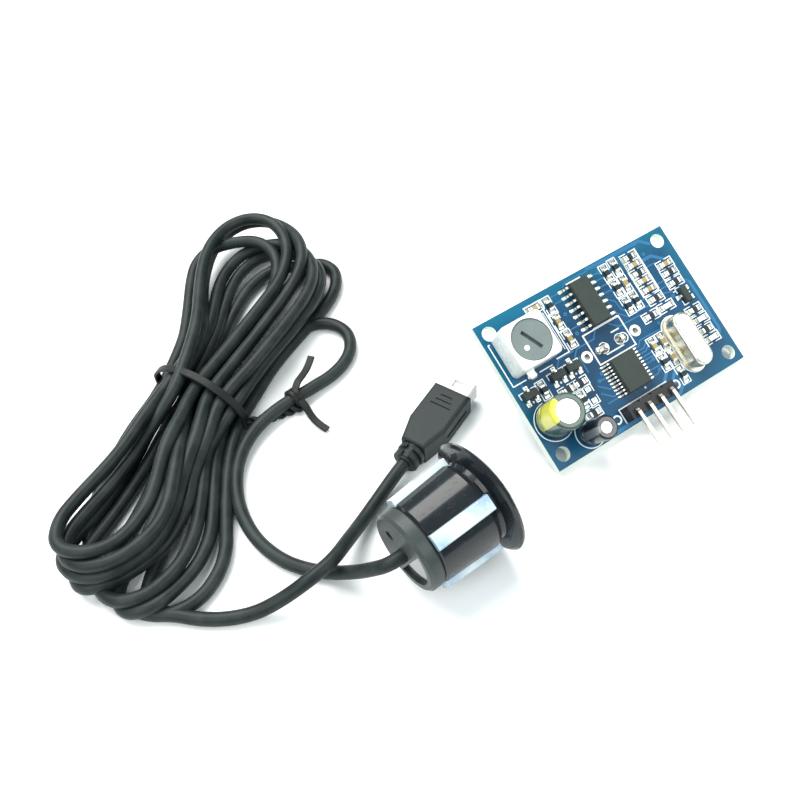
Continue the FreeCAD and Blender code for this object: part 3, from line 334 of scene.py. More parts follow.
def moulded(name, colour, roughness, grain=2600, depth=0.00001, mottle=0.25, **constants):
    """Moulded plastic, rubber or ceramic: soft mottling, fine grain and uneven gloss."""
    finish = Finish(name, **constants)
    cloud = finish.noise(420, 4)
    fine = finish.noise(grain, 2)
    finish.feed("Base Color", finish.mix(shade(colour, 1 - mottle), shade(colour, 1 + mottle), cloud))
    finish.feed("Roughness", roughness + (fine - 0.5) * 0.16 + (cloud - 0.5) * 0.12)
    return finish.bump(fine, depth).material


def metal(name, colour, roughness, brush=(1, 1, 1), depth=0.000004, tarnish=0.15, **constants):
    """Bare metal: brushed lines, dull patches and a little tarnish."""
    finish = Finish(name, metallic=1.0, **constants)
    lines = finish.noise(2600, 3, finish.stretched(brush))
    patches = finish.noise(330, 3)
    finish.feed("Base Color", finish.mix(shade(colour, 1 - tarnish), colour, patches.ramp(0.3, 0.6)))
    finish.feed("Roughness", roughness + (lines - 0.5) * 0.14 + (patches - 0.5) * 0.14)
    return finish.bump(lines, depth).material


# ------------------------------------------------------------------ finishes
def board_finish(colours):
    """Solder mask over copper, lightened by painted light near the edges and most towards the far side, with
    bare laminate on every cut edge.
    """
    finish = Finish("board_laminate", coat_weight=0.03, coat_roughness=0.15, specular_ior_level=0.12)
    place = finish.place()
    corner, x, y, z = (Vector(BOARD.col[i][:3]) for i in (3, 0, 1, 2))
    across = finish.along(tuple(x), x.dot(corner), place) / (BOARD_LENGTH * MM)
    up = finish.along(tuple(y), y.dot(corner), place) / (BOARD_WIDTH * MM)
    normal = finish.node("ShaderNodeNewGeometry", {}, {}, out="True Normal")
    face = finish.along(tuple(z), 0.0, normal).size() > 0.7
    # Painted light: the mask is made lighter and more teal near every edge, most on the far side.
    painted_light_rim = (across - 0.5).size().ramp(0.40, 0.52).most((up - 0.5).size().ramp(0.30, 0.52))
    cloud = finish.noise(130, 4, place)
    copper = finish.noise(90, 1, place).ramp(0.47, 0.5)
    mask = finish.mix(colours.mask_dark[:], colours.mask[:], copper * 0.5 + cloud * 0.5)
    mask = finish.mix(mask, colours.mask_painted_light[:], painted_light_rim * (0.35 + up * 0.5).least(1.0))
    weave = finish.noise(2200, 2, finish.stretched((1, 1, 6), place))
    edge = finish.mix((0.62, 0.72, 0.64), (0.84, 0.90, 0.82), weave)
    finish.feed("Base Color", finish.mix(edge, mask, face))
    finish.feed("Roughness", 0.5 - face * 0.2 + (cloud - 0.5) * 0.1)
    return finish.bump(copper * 0.3 + weave * (1 - face), 0.00002, 0.6).material


def sleeve_finish(name, base, panel, centre, start, stop, gloss):
    """Shrunk capacitor sleeve: a panel of another colour round part of it, and a moulded gloss."""
    finish = Finish(name, coat_weight=0.6, coat_roughness=gloss)
    place = finish.place()
    x, y, z = (Vector(BOARD.col[i][:3]) for i in (0, 1, 2))
    foot = BOARD @ Vector((centre[0] * MM, centre[1] * MM, 0))
    right, back, high = (finish.along(tuple(v), v.dot(foot), place) for v in (x, y, z))
    angle = finish.node("ShaderNodeMath", {"operation": "ARCTAN2"}, {0: back, 1: right})
    inside = (angle > start).most(angle < stop)
    band = (high > 0.5 * MM) * (high < 7.4 * MM)
    blotch = finish.noise(520, 2, place).ramp(0.44, 0.5)
    shown = inside * band * (1 - 0.6 * (blotch * (high < 2.6 * MM)))
    cloud = finish.noise(300, 3, place)
    ground = finish.mix(shade(base, 0.7), shade(base, 1.3), cloud)
    finish.feed("Base Color", finish.mix(ground, panel, shown))
    finish.feed("Roughness", 0.22 + cloud * 0.16)
    return finish.bump(finish.noise(1500, 2, place), 0.00001).material


def can_finish():
    """Tin-plated can: bright, nearly white, with faint drawing lines and fingerprints."""
    finish = Finish("can_metal", metallic=0.25)
    lines = finish.noise(1500, 3, finish.stretched((1, 1, 0.12)))
    prints = finish.noise(260, 4)
    finish.feed("Base Color", finish.mix((0.74, 0.79, 0.76), (0.86, 0.90, 0.87), prints.ramp(0.3, 0.62)))
    finish.feed("Roughness", 0.3 + (prints - 0.5) * 0.2 + (lines - 0.5) * 0.1)
    return finish.bump(lines, 0.000006).material


def core_finish():
    """Pressed ferrite: smooth grey with soft clouds and a fine grit."""
    finish = Finish("ferrite", specular_ior_level=0.35)
    grit = finish.noise(1900, 4)
    cloud = finish.noise(420, 3)
    finish.feed("Base Color", finish.mix((0.12, 0.15, 0.148), (0.20, 0.245, 0.24), grit * 0.4 + cloud * 0.6))
    finish.feed("Roughness", 0.4 + grit * 0.2)
    return finish.bump(grit, 0.000008).material


def probe_finish():
    """Glossy black moulding with scuffs: a clear coat over black, rough where it was handled."""
    finish = Finish("probe_black", coat_weight=0.3, coat_roughness=0.05, specular_ior_level=0.25)
    flow = finish.noise(170, 3)
    scuff = finish.noise(1500, 6, finish.stretched((0.5, 1, 1)), 0.7).ramp(0.56, 0.66)
    finish.feed("Base Color", finish.mix((0.006, 0.008, 0.010), (0.016, 0.020, 0.024), flow))
    finish.feed("Roughness", 0.16 + scuff * 0.30 + flow * 0.06)
    return finish.bump(flow * 0.15 + scuff * 0.5, 0.000012, 0.6).material


def film_finish():
    """Pale glossy strip, milky blue, warmer where the glue shows at its edges."""
    finish = Finish("strip_film", coat_weight=0.4, coat_roughness=0.10, subsurface_weight=0.1,
                    subsurface_scale=0.001)
    drift = finish.noise(150, 3)
    speck = finish.noise(2600, 3)
    tint = finish.mix((0.16, 0.31, 0.47), (0.56, 0.68, 0.72), drift.ramp(0.32, 0.66))
    finish.feed("Base Color", finish.mix(tint, (0.72, 0.72, 0.58), speck.ramp(0.66, 0.72)))
    finish.feed("Roughness", 0.16 + drift * 0.14)
    return finish.bump(drift, 0.00002).material


def cable_finish():
    """Matte rubber jacket: dark green-grey, faint die lines, dusty patches with a low sheen."""
    finish = Finish("cable_rubber", specular_ior_level=0.22)
    dust = finish.noise(240, 5)
    fine = finish.noise(3000, 3)
    finish.feed("Base Color", finish.mix((0.010, 0.015, 0.0155), (0.022, 0.030, 0.030), dust.ramp(0.35, 0.7)))
    finish.feed("Roughness", 0.46 + (dust - 0.5) * 0.2 + (fine - 0.5) * 0.1)
    return finish.bump(fine * 0.4 + dust * 0.6, 0.00002).material


def track_finish(colours):
    finish = Finish("track_mask", coat_weight=0.03, coat_roughness=0.12, specular_ior_level=0.15)
    cloud = finish.noise(200, 3)
    finish.feed("Base Color", finish.mix(shade(colours.track[:], 0.75), colours.track[:], cloud))
    finish.feed("Roughness", 0.3 + cloud * 0.1)
    return finish.bump(finish.noise(900, 2), 0.00001).material


def solder_finish():
    """Tin-lead solder: bright, rippled, with frosted patches."""
    finish = Finish("solder", metallic=1.0)
    ripple = finish.noise(900, 4)
    frost = finish.noise(1700, 3)
    finish.feed("Base Color", finish.mix((0.50, 0.53, 0.47), (0.80, 0.81, 0.75), frost))
    finish.feed("Roughness", 0.18 + ripple * 0.25)
    return finish.bump(ripple, 0.00004).material


def make_finishes(colours):
    """Every finish by the record's material slot."""
    return {
        "board_laminate": board_finish(colours),
        "solder": solder_finish(),
        "can_metal": can_finish(),
        "ferrite": core_finish(),
        "bobbin_black": moulded("bobbin_black", (0.03, 0.03, 0.032), 0.5),
        "copper_winding": metal("copper_winding", (0.75, 0.33, 0.14), 0.3, (1, 1, 12)),
        "tinned_pin": metal("tinned_pin", (0.60, 0.57, 0.50), 0.28, (0.3, 1, 1)),
        "chip_black": moulded("chip_black", (0.034, 0.046, 0.042), 0.52, 3200, 0.000012,
                              specular_ior_level=0.25),
        "resistor_black": moulded("resistor_black", (0.018, 0.020, 0.020), 0.42, specular_ior_level=0.3),
        "ceramic_tan": moulded("ceramic_tan", (0.36, 0.27, 0.12), 0.5, specular_ior_level=0.3),
        "led_white": moulded("led_white", (0.80, 0.83, 0.74), 0.25, subsurface_weight=0.2,
                             subsurface_scale=0.0005, coat_weight=0.5),
        "chip_end_metal": metal("chip_end_metal", (0.72, 0.73, 0.66), 0.36),
        "crystal_metal": metal("crystal_metal", (0.78, 0.75, 0.64), 0.34, (1, 1, 0.2), tarnish=0.1),
        "green_sleeve": sleeve_finish("green_sleeve", (0.035, 0.075, 0.058), (0.58, 0.58, 0.05),
                                      LARGE_CAPACITOR_AT, 1.9, -2.85, 0.08),
        "black_sleeve": sleeve_finish("black_sleeve", (0.008, 0.009, 0.012), (0.12, 0.13, 0.14),
                                      SMALL_CAPACITOR_AT, 2.9, -2.75, 0.05),
        "capacitor_aluminium": metal("capacitor_aluminium", (0.95, 0.96, 0.96), 0.32),
        "bung_rubber": moulded("bung_rubber", (0.03, 0.03, 0.03), 0.7),
        "header_plastic": moulded("header_plastic", (0.010, 0.012, 0.014), 0.38, specular_ior_level=0.3),
        "socket_white": moulded("socket_white", (0.76, 0.74, 0.68), 0.42, mottle=0.06),
        "probe_black": probe_finish(),
        "rear_cap_black": moulded("rear_cap_black", (0.040, 0.050, 0.050), 0.4, specular_ior_level=0.3),
        "strip_film": film_finish(),
        "membrane_aluminium": metal("membrane_aluminium", (0.70, 0.72, 0.74), 0.34, (1, 0.2, 1)),
        "seal_rubber": moulded("seal_rubber", (0.02, 0.02, 0.02), 0.6),
        "piezo_ceramic": moulded("piezo_ceramic", (0.70, 0.64, 0.48), 0.5, mottle=0.1),
        "damping_foam": moulded("damping_foam", (0.22, 0.22, 0.21), 0.85, 900, 0.00006),
        "potting_resin": moulded("potting_resin", (0.03, 0.036, 0.04), 0.1, coat_weight=0.8),
        "cable_rubber": cable_finish(),
        "tie_black": moulded("tie_black", (0.006, 0.008, 0.008), 0.5, 2200, 0.00002, specular_ior_level=0.25),
        "plug_black": moulded("plug_black", (0.016, 0.023, 0.023), 0.46, 2400, 0.000014,
                              specular_ior_level=0.22),
        "plug_white": moulded("plug_white", (0.86, 0.87, 0.84), 0.3, mottle=0.05, transmission_weight=0.25,
                              subsurface_weight=0.3, subsurface_scale=0.001),
        "track": track_finish(colours),
        "print": moulded("printed_white", (0.86, 0.88, 0.86), 0.55, mottle=0.06),
    }


FINISHES = {}


# ------------------------------------------------------------------ mesh work
class Shape:
    """Faces gathered in millimetres on the board, or in any frame, and made into one piece."""

    def __init__(self):
        self.mesh = bmesh.new()

    def prism(self, outline, low, high):
        below = [self.mesh.verts.new((x, y, low)) for x, y in outline]
        above = [self.mesh.verts.new((x, y, high)) for x, y in outline]
        self.mesh.faces.new(above)
        self.mesh.faces.new(below[::-1])
        for i in range(len(outline)):
            j = (i + 1) % len(outline)
            self.mesh.faces.new((below[i], below[j], above[j], above[i]))

    def stroke(self, points, width, low, high):
        """A flat line of one width with mitred corners."""
        line = [Vector(p) for p in points]
        sides = ([], [])
        for i, point in enumerate(line):
            into = (point - line[i - 1]).normalized() if i else (line[1] - point).normalized()
            out = (line[i + 1] - point).normalized() if i + 1 < len(line) else into
            mean = (into + out).normalized()
            normal = Vector((-mean.y, mean.x)) * width / 2 / max(0.5, mean.dot(into))
            sides[0].append(point + normal)
            sides[1].append(point - normal)
        rows = [[self.mesh.verts.new((p.x, p.y, z)) for p in side] for z in (low, high) for side in sides]
        low_left, low_right, high_left, high_right = rows
        for i in range(len(line) - 1):
            self.mesh.faces.new((high_right[i], high_right[i + 1], high_left[i + 1], high_left[i]))
            self.mesh.faces.new((low_left[i], low_left[i + 1], low_right[i + 1], low_right[i]))
            self.mesh.faces.new((low_right[i], low_right[i + 1], high_right[i + 1], high_right[i]))
            self.mesh.faces.new((low_left[i + 1], low_left[i], high_left[i], high_left[i + 1]))
        for i in (0, -1):
            self.mesh.faces.new((low_left[i], low_right[i], high_right[i], high_left[i]))

    def ring(self, cx, cy, inner, outer, low, high, start=0.0, stop=2 * math.pi, count=32):
        """A flat ring, or an arc of one."""
        whole = stop - start > 6.28
        steps = count if whole else count + 1
        rows = [[self.mesh.verts.new((cx + r * math.cos(t), cy + r * math.sin(t), z))
                 for t in (start + (stop - start) * i / count for i in range(steps))]
                for r, z in ((inner, low), (outer, low), (outer, high), (inner, high))]
        for i in range(count):
            j = (i + 1) % steps
            for first, second in zip(rows, rows[1:] + rows[:1]):
                self.mesh.faces.new((first[i], first[j], second[j], second[i]))
        if not whole:
            for i in (0, -1):
                self.mesh.faces.new([row[i] for row in rows])

    def dome(self, cx, cy, half_x, half_y, low, height, turn=0.0, count=20):
        """A solder mound on a rounded oblong pad."""
        r = min(half_x, half_y)
        c, s = math.cos(turn), math.sin(turn)
        loops = []
        for level in range(4):
            swell = math.cos(level / 3.6 * math.pi / 2)
            loop = []
            for i in range(count):
                t = 2 * math.pi * i / count
                x = (half_x - r) * (1 if math.cos(t) > 0 else -1) + r * math.cos(t) * swell
                y = (half_y - r) * (1 if math.sin(t) > 0 else -1) + r * math.sin(t) * swell
                z = low + height * math.sin(level / 3.6 * math.pi / 2)
                loop.append(self.mesh.verts.new((cx + x * c - y * s, cy + x * s + y * c, z)))
            loops.append(loop)
        for first, second in zip(loops, loops[1:]):
            for i in range(count):
                j = (i + 1) % count
                self.mesh.faces.new((first[i], first[j], second[j], second[i]))
        self.mesh.faces.new(loops[-1])
        self.mesh.faces.new(loops[0][::-1])

    def fillet(self, x, y, way, side):
        """The concave solder wedge at one end of a small part."""
        half = CHIP_WIDTH / 2 + 0.02
        profile = [(CHIP_END_AT + 0.62, PAD_TOP), (CHIP_END_AT + 0.34, 0.09), (CHIP_END_AT + 0.12, 0.2),
                   (CHIP_END_AT, 0.4), (CHIP_END_AT - 0.02, 0.4), (CHIP_END_AT - 0.02, PAD_TOP)]
        rows = []
        for across in (-half, -half * 0.5, half * 0.5, half):
            sag = 0.82 if abs(across) == half else 1.0
            row = []
            for out, z in profile:
                u, v = out * side, across * (0.92 if out > CHIP_END_AT + 0.5 else 1.0)
                row.append(self.mesh.verts.new((*oriented(x, y, way, u, v), PAD_TOP + (z - PAD_TOP) * sag)))
            rows.append(row)
        count = len(profile)
        for first, second in zip(rows, rows[1:]):
            for i in range(count):
                j = (i + 1) % count
                self.mesh.faces.new((first[i], first[j], second[j], second[i]))
        self.mesh.faces.new(rows[0])
        self.mesh.faces.new(rows[-1][::-1])

    def piece(self, name, slot, finish=None, matrix=None, body=ROOT, smooth=False):
        bmesh.ops.recalc_face_normals(self.mesh, faces=self.mesh.faces)
        data = bpy.data.meshes.new(name)
        self.mesh.to_mesh(data)
        self.mesh.free()
        data.transform(BOARD @ Matrix.Scale(MM, 4) if matrix is None else matrix)
        if smooth:
            data.shade_smooth()
            data.set_sharp_from_angle(angle=math.radians(40))
        return show(bpy.data.objects.new(name, data), slot, finish, body)


def show(thing, slot, finish=None, body=ROOT):
    """Links a piece, gives it its finish and lets it ride."""
    bpy.context.scene.collection.objects.link(thing)
    thing.data.materials.append(FINISHES[finish or slot])
    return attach(thing, body)


def swept(points, section, up):
    """A Shape whose section, in (across, up) offsets, follows points; lengths as the points'."""
    shape = Shape()
    line = [Vector(p) for p in points]
    last = len(line) - 1
    rows = []
    for i, point in enumerate(line):
        tangent = (line[min(i + 1, last)] - line[max(i - 1, 0)]).normalized()
        upward = up[i] if isinstance(up, list) else up
        across = tangent.cross(upward).normalized()
        above = across.cross(tangent)
        rows.append([shape.mesh.verts.new(point + across * u + above * v) for u, v in section])
    for first, second in zip(rows, rows[1:]):
        for k in range(len(section)):
            m = (k + 1) % len(section)
            shape.mesh.faces.new((first[k], first[m], second[m], second[k]))
    shape.mesh.faces.new(rows[0][::-1])
    shape.mesh.faces.new(rows[-1])
    return shape


def flat_section(width, thickness):
    """A flat strip with rounded edges."""
    w, t = width / 2, thickness / 2
    return [(-w, -t * 0.5), (-w + t * 0.5, -t), (w - t * 0.5, -t), (w, -t * 0.5),
            (w, t * 0.5), (w - t * 0.5, t), (-w + t * 0.5, t), (-w, t * 0.5)]


def round_section(r, count=10):
    angles = [2 * math.pi * i / count for i in range(count)]
    return [(r * math.cos(t), r * math.sin(t)) for t in angles]


def spline_curve(name, points, steps):
    """A curve of one NURBS spline through the given control points."""
    curve = bpy.data.curves.new(name, "CURVE")
    curve.dimensions = "3D"
    spline = curve.splines.new("NURBS")
    spline.points.add(len(points) - 1)
    for point, place in zip(spline.points, points):
        point.co = (*place, 1)
    spline.order_u = 3
    spline.use_endpoint_u = True
    curve.resolution_u = steps
    return curve


def smooth_line(points, steps=6):
    """Points read from a NURBS spline through the given control points."""
    holder = bpy.data.objects.new("line", spline_curve("line", points, steps))
    bpy.context.scene.collection.objects.link(holder)
    bpy.context.view_layer.update()
    data = bpy.data.meshes.new_from_object(holder)
    line = [v.co.copy() for v in data.vertices]
    bpy.data.objects.remove(holder)
    return line


# ------------------------------------------------------------------ board details
def two_pad_parts():
    return RESISTORS + CERAMICS + LEDS + EMPTY_PLACES


def lead_feet(chip):
    """Middle of each foot of a two-row chip."""
    x, y = chip["at"]
    for side in (-1, 1):
        for i in range(chip["pins"]):
            yield x + side * chip["foot"], y + (i - (chip["pins"] - 1) / 2) * chip["pitch"]


def transistor_feet():
    for x, y, turn in TRANSISTORS:
        c, s = math.cos(math.radians(turn)), math.sin(math.radians(turn))
        for u, v in ((0, 1.25), (-0.95, -1.25), (0.95, -1.25)):
            yield x + u * c - v * s, y + u * s + v * c, math.radians(turn)


def rectangle(half_x, half_y):
    return ((-half_x, -half_y), (half_x, -half_y), (half_x, half_y), (-half_x, half_y))


def oriented(x, y, way, u, v):
    return (x + u, y + v) if way == "x" else (x - v, y + u)


def build_tracks():
    shape = Shape()
    for track in TRACKS:
        shape.stroke(track, THIN_TRACK, SUNK, TRACK_TOP)
    for track in WIDE_TRACKS:
        shape.stroke(track, WIDE_TRACK, SUNK, TRACK_TOP)
    for x, y in VIAS:
        shape.ring(x, y, VIA_HOLE, VIA_EDGE, SUNK, TRACK_TOP + 0.01, count=20)
    return shape.piece("copper_tracks", "board_laminate", "track")


def build_pads():
    shape = Shape()
    corners = rectangle(0.42, 0.48)
    for x, y, way in two_pad_parts():
        for side in (-1, 1):
            shape.prism([oriented(x, y, way, side * CHIP_PAD_AT + u, v) for u, v in corners], SUNK, PAD_TOP)
    corners = rectangle(0.4, 0.45)
    for x, y, turn in transistor_feet():
        c, s = math.cos(turn), math.sin(turn)
        shape.prism([(x + u * c - v * s, y + u * s + v * c) for u, v in corners], SUNK, PAD_TOP * 0.8)
    for x, y in SOCKET_CONTACTS:
        shape.ring(x, y, 0.5, 1.0, SUNK, PAD_TOP)
    for x, y in SOCKET_RINGS:
        shape.ring(x, y, 0.62, 0.86, SUNK, PAD_TOP)
        shape.ring(x, y, 0.56, 0.64, -BOARD_THICKNESS, PAD_TOP)
    return shape.piece("solder_pads", "solder")


def build_solder():
    """Solder where the small parts, chips and contacts meet their pads."""
    shape = Shape()
    for x, y, way in RESISTORS + CERAMICS + LEDS:
        for side in (-1, 1):
            shape.fillet(x, y, way, side)
    for x, y, way in EMPTY_PLACES:
        for side in (-1, 1):
            px, py = oriented(x, y, way, side * CHIP_PAD_AT, 0)
            shape.dome(px, py, 0.38, 0.4, PAD_TOP - 0.01, 0.1)
    for chip in (OPAMP, CONTROLLER):
        length, width = chip["pad"]
        for x, y in lead_feet(chip):
            shape.dome(x, y, length / 2, width / 2, SUNK, 0.13)
    for x, y, turn in transistor_feet():
        shape.dome(x, y, 0.34, 0.36, 0.02, 0.14, turn)
    x, y = SOCKET_CONTACTS[0]
    shape.dome(x - 0.75, y, 1.15, 0.8, 0.0, 0.75)
    x, y = SOCKET_CONTACTS[1]
    shape.dome(x + 0.55, y - 0.05, 0.8, 0.62, 0.0, 0.35)
    shape.dome(5.0, 16.0, 1.05, 0.62, 0.0, 0.3)
    return shape.piece("solder_mounds", "solder", smooth=True)


def bracket(shape, x, y, way, side, reach=1.72, half=0.86, gap=0.34, width=0.17):
    """Half of a printed outline round a small part, open in the middle."""
    points = [(gap, half), (reach, half), (reach, -half), (gap, -half)]
    shape.stroke([oriented(x, y, way, side * u, v) for u, v in points], width, SUNK, PRINT_TOP)


def build_print():
    """The board's printed lines, with no lettering."""
    shape = Shape()

    def line(*points, width=0.2):
        shape.stroke(points, width, SUNK, PRINT_TOP)

    def loop(x0, y0, x1, y1, width=0.2):
        middle = (x0 + x1) / 2
        line((middle, y0), (x1, y0), (x1, y1), (x0, y1), (x0, y0), (middle + 0.01, y0), width=width)

    for x, y, way in two_pad_parts():
        for side in (-1, 1):
            bracket(shape, x, y, way, side)
    for x, y, turn in TRANSISTORS:
        c, s = math.cos(math.radians(turn)), math.sin(math.radians(turn))
        for side in (-1, 1):
            corner = [(side * 0.75, 0.95), (side * 1.68, 0.95), (side * 1.68, -0.1)]
            shape.stroke([(x + u * c - v * s, y + u * s + v * c) for u, v in corner], 0.16, SUNK, PRINT_TOP)
        shape.ring(x - 1.3 * -s, y - 1.3 * c, 0.0001, 0.2, SUNK, PRINT_TOP, count=12)
    loop(16.9, 11.75, 24.9, 17.6, 0.24)
    for width, *points in PRINT_LINES:
        line(*points, width=width)
    shape.ring(3.95, 7.7, 3.45, 3.6, SUNK, PRINT_TOP, 1.6, 5.4, 40)
    shape.ring(8.5, 2.9, 2.62, 2.8, SUNK, PRINT_TOP, 1.5, 5.4, 40)
    for x, y in SPARE_RINGS:
        shape.ring(x, y, 0.56, 0.86, SUNK, PRINT_TOP)
    for x, y in SOCKET_RINGS:
        shape.ring(x, y, 0.86, 1.06, SUNK, PRINT_TOP)
    shape.ring(23.5, 13.9, 0.78, 0.95, SUNK, PAD_TOP + 0.02)
    shape.ring(21.96, 4.5, 0.0001, 0.2, SUNK, PRINT_TOP, count=14)
    middle, low, high = CRYSTAL_OUTLINE
    shape.ring(middle, high, 2.35, 2.5, SUNK, PRINT_TOP, 0, math.pi, 28)
    shape.ring(middle, low, 2.35, 2.5, SUNK, PRINT_TOP, math.pi, 2 * math.pi, 28)
    for x in (middle - 2.43, middle + 2.43):
        line((x, low), (x, high), width=0.15)
    return shape.piece("board_print", "board_laminate", "print")


def build_underside():
    """Tracks, pads and printed outline on the board's lower face."""
    under = BOARD @ Matrix.Translation((0, 0, -BOARD_THICKNESS * MM)) @ Matrix.Rotation(math.pi, 4, "X")
    matrix = under @ Matrix.Scale(MM, 4)
    tracks = Shape()
    for i, x in enumerate(HEADER_XS):
        end = (6.0 + 9.5 * i, -21.0 - (i % 2) * 3)
        tracks.stroke([(x, -2.2), (x, -6.0 - i * 0.8), (end[0], -9.0 - i * 0.9), end], 0.5, SUNK, TRACK_TOP)
    for i in range(6):
        x = 4.0 + 6.4 * i
        tracks.stroke([(x, -24.5), (x + 2.5, -22.0), (x + 2.5, -19.0)], 0.26, SUNK, TRACK_TOP)
    for x, y in VIAS:
        tracks.ring(x, -y, VIA_HOLE, VIA_EDGE, SUNK, TRACK_TOP + 0.01, count=20)
    tracks.piece("lower_tracks", "board_laminate", "track", matrix)
    pads = Shape()
    for x in HEADER_XS:
        pads.ring(x, -2.15, 0.5, 1.02, SUNK, PAD_TOP)
    pads.piece("lower_pads", "solder", None, matrix)
    outline = Shape()
    for left, right, first, other in ((15.4, 26.0, -3.6, -0.8), (16.6, 25.3, -11.3, -17.9)):
        corners = [(left, first), (right, first), (right, other), (left, other), (left, first - 0.01)]
        outline.stroke(corners, 0.2, SUNK, PRINT_TOP)
    outline.piece("lower_print", "board_laminate", "print", matrix)


def build_core_dot():
    """The white paint dot on the tuning core, off its middle."""
    lowest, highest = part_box("tuning_core")
    middle = BOARD.inverted() @ ((lowest + highest) / 2)
    shape = Shape()
    top = max((BOARD.inverted() @ v.co).z for v in NODES["tuning_core"].data.vertices) / MM
    shape.dome(middle.x / MM - 1.5, middle.y / MM - 0.85, 0.52, 0.5, top - 0.02, 0.09)
    return shape.piece("core_paint_dot", "ferrite", "print", body=CORE, smooth=True)


# ------------------------------------------------------------------ cable and tie details
def hank_place(along, across, height):
    waist = (WAIST_LEFT + WAIST_RIGHT) / 2
    left = (WAIST_LEFT - WAIST_RIGHT).normalized()
    ahead = Vector((left.y, -left.x, 0))
    place = waist + ahead * along + left * across
    return Vector((place.x, place.y, height)) * MM


def cable_route():
    """The cable's control points from the probe, through the hank, to the plug."""
    probe = MOUNTS["probe_front_face"]
    axis = Vector(probe["axis"]).normalized()
    rear = Vector(probe["pos_m"]) - axis * PROBE_LENGTH * MM
    plug = MOUNTS["cable_plug"]
    ahead = Vector(plug["axis"]).normalized()
    back = Vector(plug["pos_m"]) - ahead * (TIP_LENGTH + PLUG_LENGTH) * MM
    route = [rear, rear - axis * 2.4 * MM]
    route += [Vector(p) * MM for p in PROBE_ROUTE]
    route += [hank_place(*point) for point in HANK_ENTRY]
    for turn in TURN_ORDER:
        route += [hank_place(*point) for point in TURNS[turn]]
    route += [hank_place(*point) for point in TUCKED_END]
    route += [Vector(p) * MM for p in PLUG_ROUTE]
    route += [back - ahead * (RELIEF_LENGTH + 0.3) * MM, back]
    return rear, route


def build_cable():
    exit_point, route = cable_route()
    curve = spline_curve("cable", route, 8)
    curve.bevel_depth = CABLE_D / 2
    curve.bevel_resolution = 5
    curve.use_fill_caps = True
    cable = show(bpy.data.objects.new("cable", curve), "cable_rubber")
    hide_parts("sensor_cable", "cable_hank", "plug_cable")
    return exit_point, cable


def waist_arch(across):
    """Height of the tie's band over the waist."""
    return ARCH_FOOT + ARCH_RISE * math.sqrt(max(0.0, 1 - (across / ARCH_HALF) ** 2))


def build_tie():
    """The wire tie: a band over the waist, a twisted strand, a knot round the cable and two tails."""
    band = []
    for i in range(25):
        across = BAND_HALF * math.cos(math.pi * i / 24)
        skew = 0.10 * across + 0.8
        band.append(hank_place(skew, across, waist_arch(across)) / MM)
    band = [hank_place(1.8, 10.0, 0.6) / MM] + band + [hank_place(-0.2, -10.0, 0.6) / MM]
    ups = []
    for i, point in enumerate(band):
        across = (point - hank_place(0, 0, 0) / MM).dot((WAIST_LEFT - WAIST_RIGHT).normalized())
        outward = (WAIST_LEFT - WAIST_RIGHT).normalized() * across * 0.16
        ups.append(Vector((outward.x, outward.y, 0.9)).normalized())
    scale = Matrix.Scale(MM, 4)
    band_sweep = swept(band, flat_section(1.5, 0.6), ups)
    pieces = [band_sweep.piece("tie_band", "tie_black", None, scale, smooth=True)]
    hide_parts("cable_tie")
    start, knot = Vector(TIE_STRAND[0]), Vector(TIE_STRAND[1])
    run = knot - start
    side = Vector((0, 0, 1)).cross(run).normalized()
    for number, phase in ((1, 0.0), (2, math.pi)):
        line = []
        for i in range(49):
            share = i / 48
            angle = phase + share * 2 * math.pi * 3.2
            lift = 0.45 * math.sin(math.pi * share)
            line.append(start + run * share + side * 0.5 * math.cos(angle)
                        + Vector((0, 0, 0.5 * math.sin(angle) - lift)))
        strand = swept(line, round_section(0.48), Vector((0, 0, 1)))
        pieces.append(strand.piece("tie_strand_%d" % number, "tie_black", None, scale, smooth=True))
    centre = Vector(TIE_KNOT)
    ahead = Vector((1, 0.1, 0))
    across = Vector((-0.1, 1, 0))
    coil = []
    for i in range(40):
        angle = -0.5 * math.pi + 2 * math.pi * 2.2 * i / 39
        coil.append(centre + ahead * (-0.9 + 1.8 * i / 39) + across * 1.62 * math.cos(angle)
                    + Vector((0, 0, 1.55 * math.sin(angle))))
    radial = [(p - centre - ahead * (p - centre).dot(ahead)).normalized() for p in coil]
    pieces.append(swept(coil, flat_section(0.9, 0.55), radial).piece("tie_knot", "tie_black", None, scale,
                                                                    smooth=True))
    for number, points in enumerate(TIE_TAILS, 1):
        line = smooth_line([Vector(p) for p in points])
        tail = swept(line, flat_section(1.3, 0.5), Vector((0, 0, 1)))
        pieces.append(tail.piece("tie_tail_%d" % number, "tie_black", None, scale, smooth=True))
    return pieces


# ------------------------------------------------------------------ table, light and view
def build_camera(view):
    data = bpy.data.cameras.new("camera")
    data.lens = view.lens
    data.sensor_width = 36.0
    data.clip_start = 0.005
    camera = bpy.data.objects.new("camera", data)
    ahead, up = Vector(view.aim), Vector(view.up)
    right = ahead.cross(up).normalized()
    up = right.cross(ahead.normalized())
    turn = Matrix((right, up, -ahead.normalized())).transposed().to_4x4()
    camera.matrix_world = Matrix.Translation(Vector(view.place)) @ turn
    bpy.context.scene.collection.objects.link(camera)
    bpy.context.scene.camera = camera


def area_light(name, place, target, size, power, colour):
    data = bpy.data.lights.new(name, "AREA")
    data.shape = "RECTANGLE"
    data.size, data.size_y = size
    data.energy = power
    data.color = colour
    lamp = bpy.data.objects.new(name, data)
    aim = Vector(target) - Vector(place)
    lamp.matrix_world = Matrix.Translation(Vector(place)) @ aim.to_track_quat("-Z", "Y").to_matrix().to_4x4()
    bpy.context.scene.collection.objects.link(lamp)


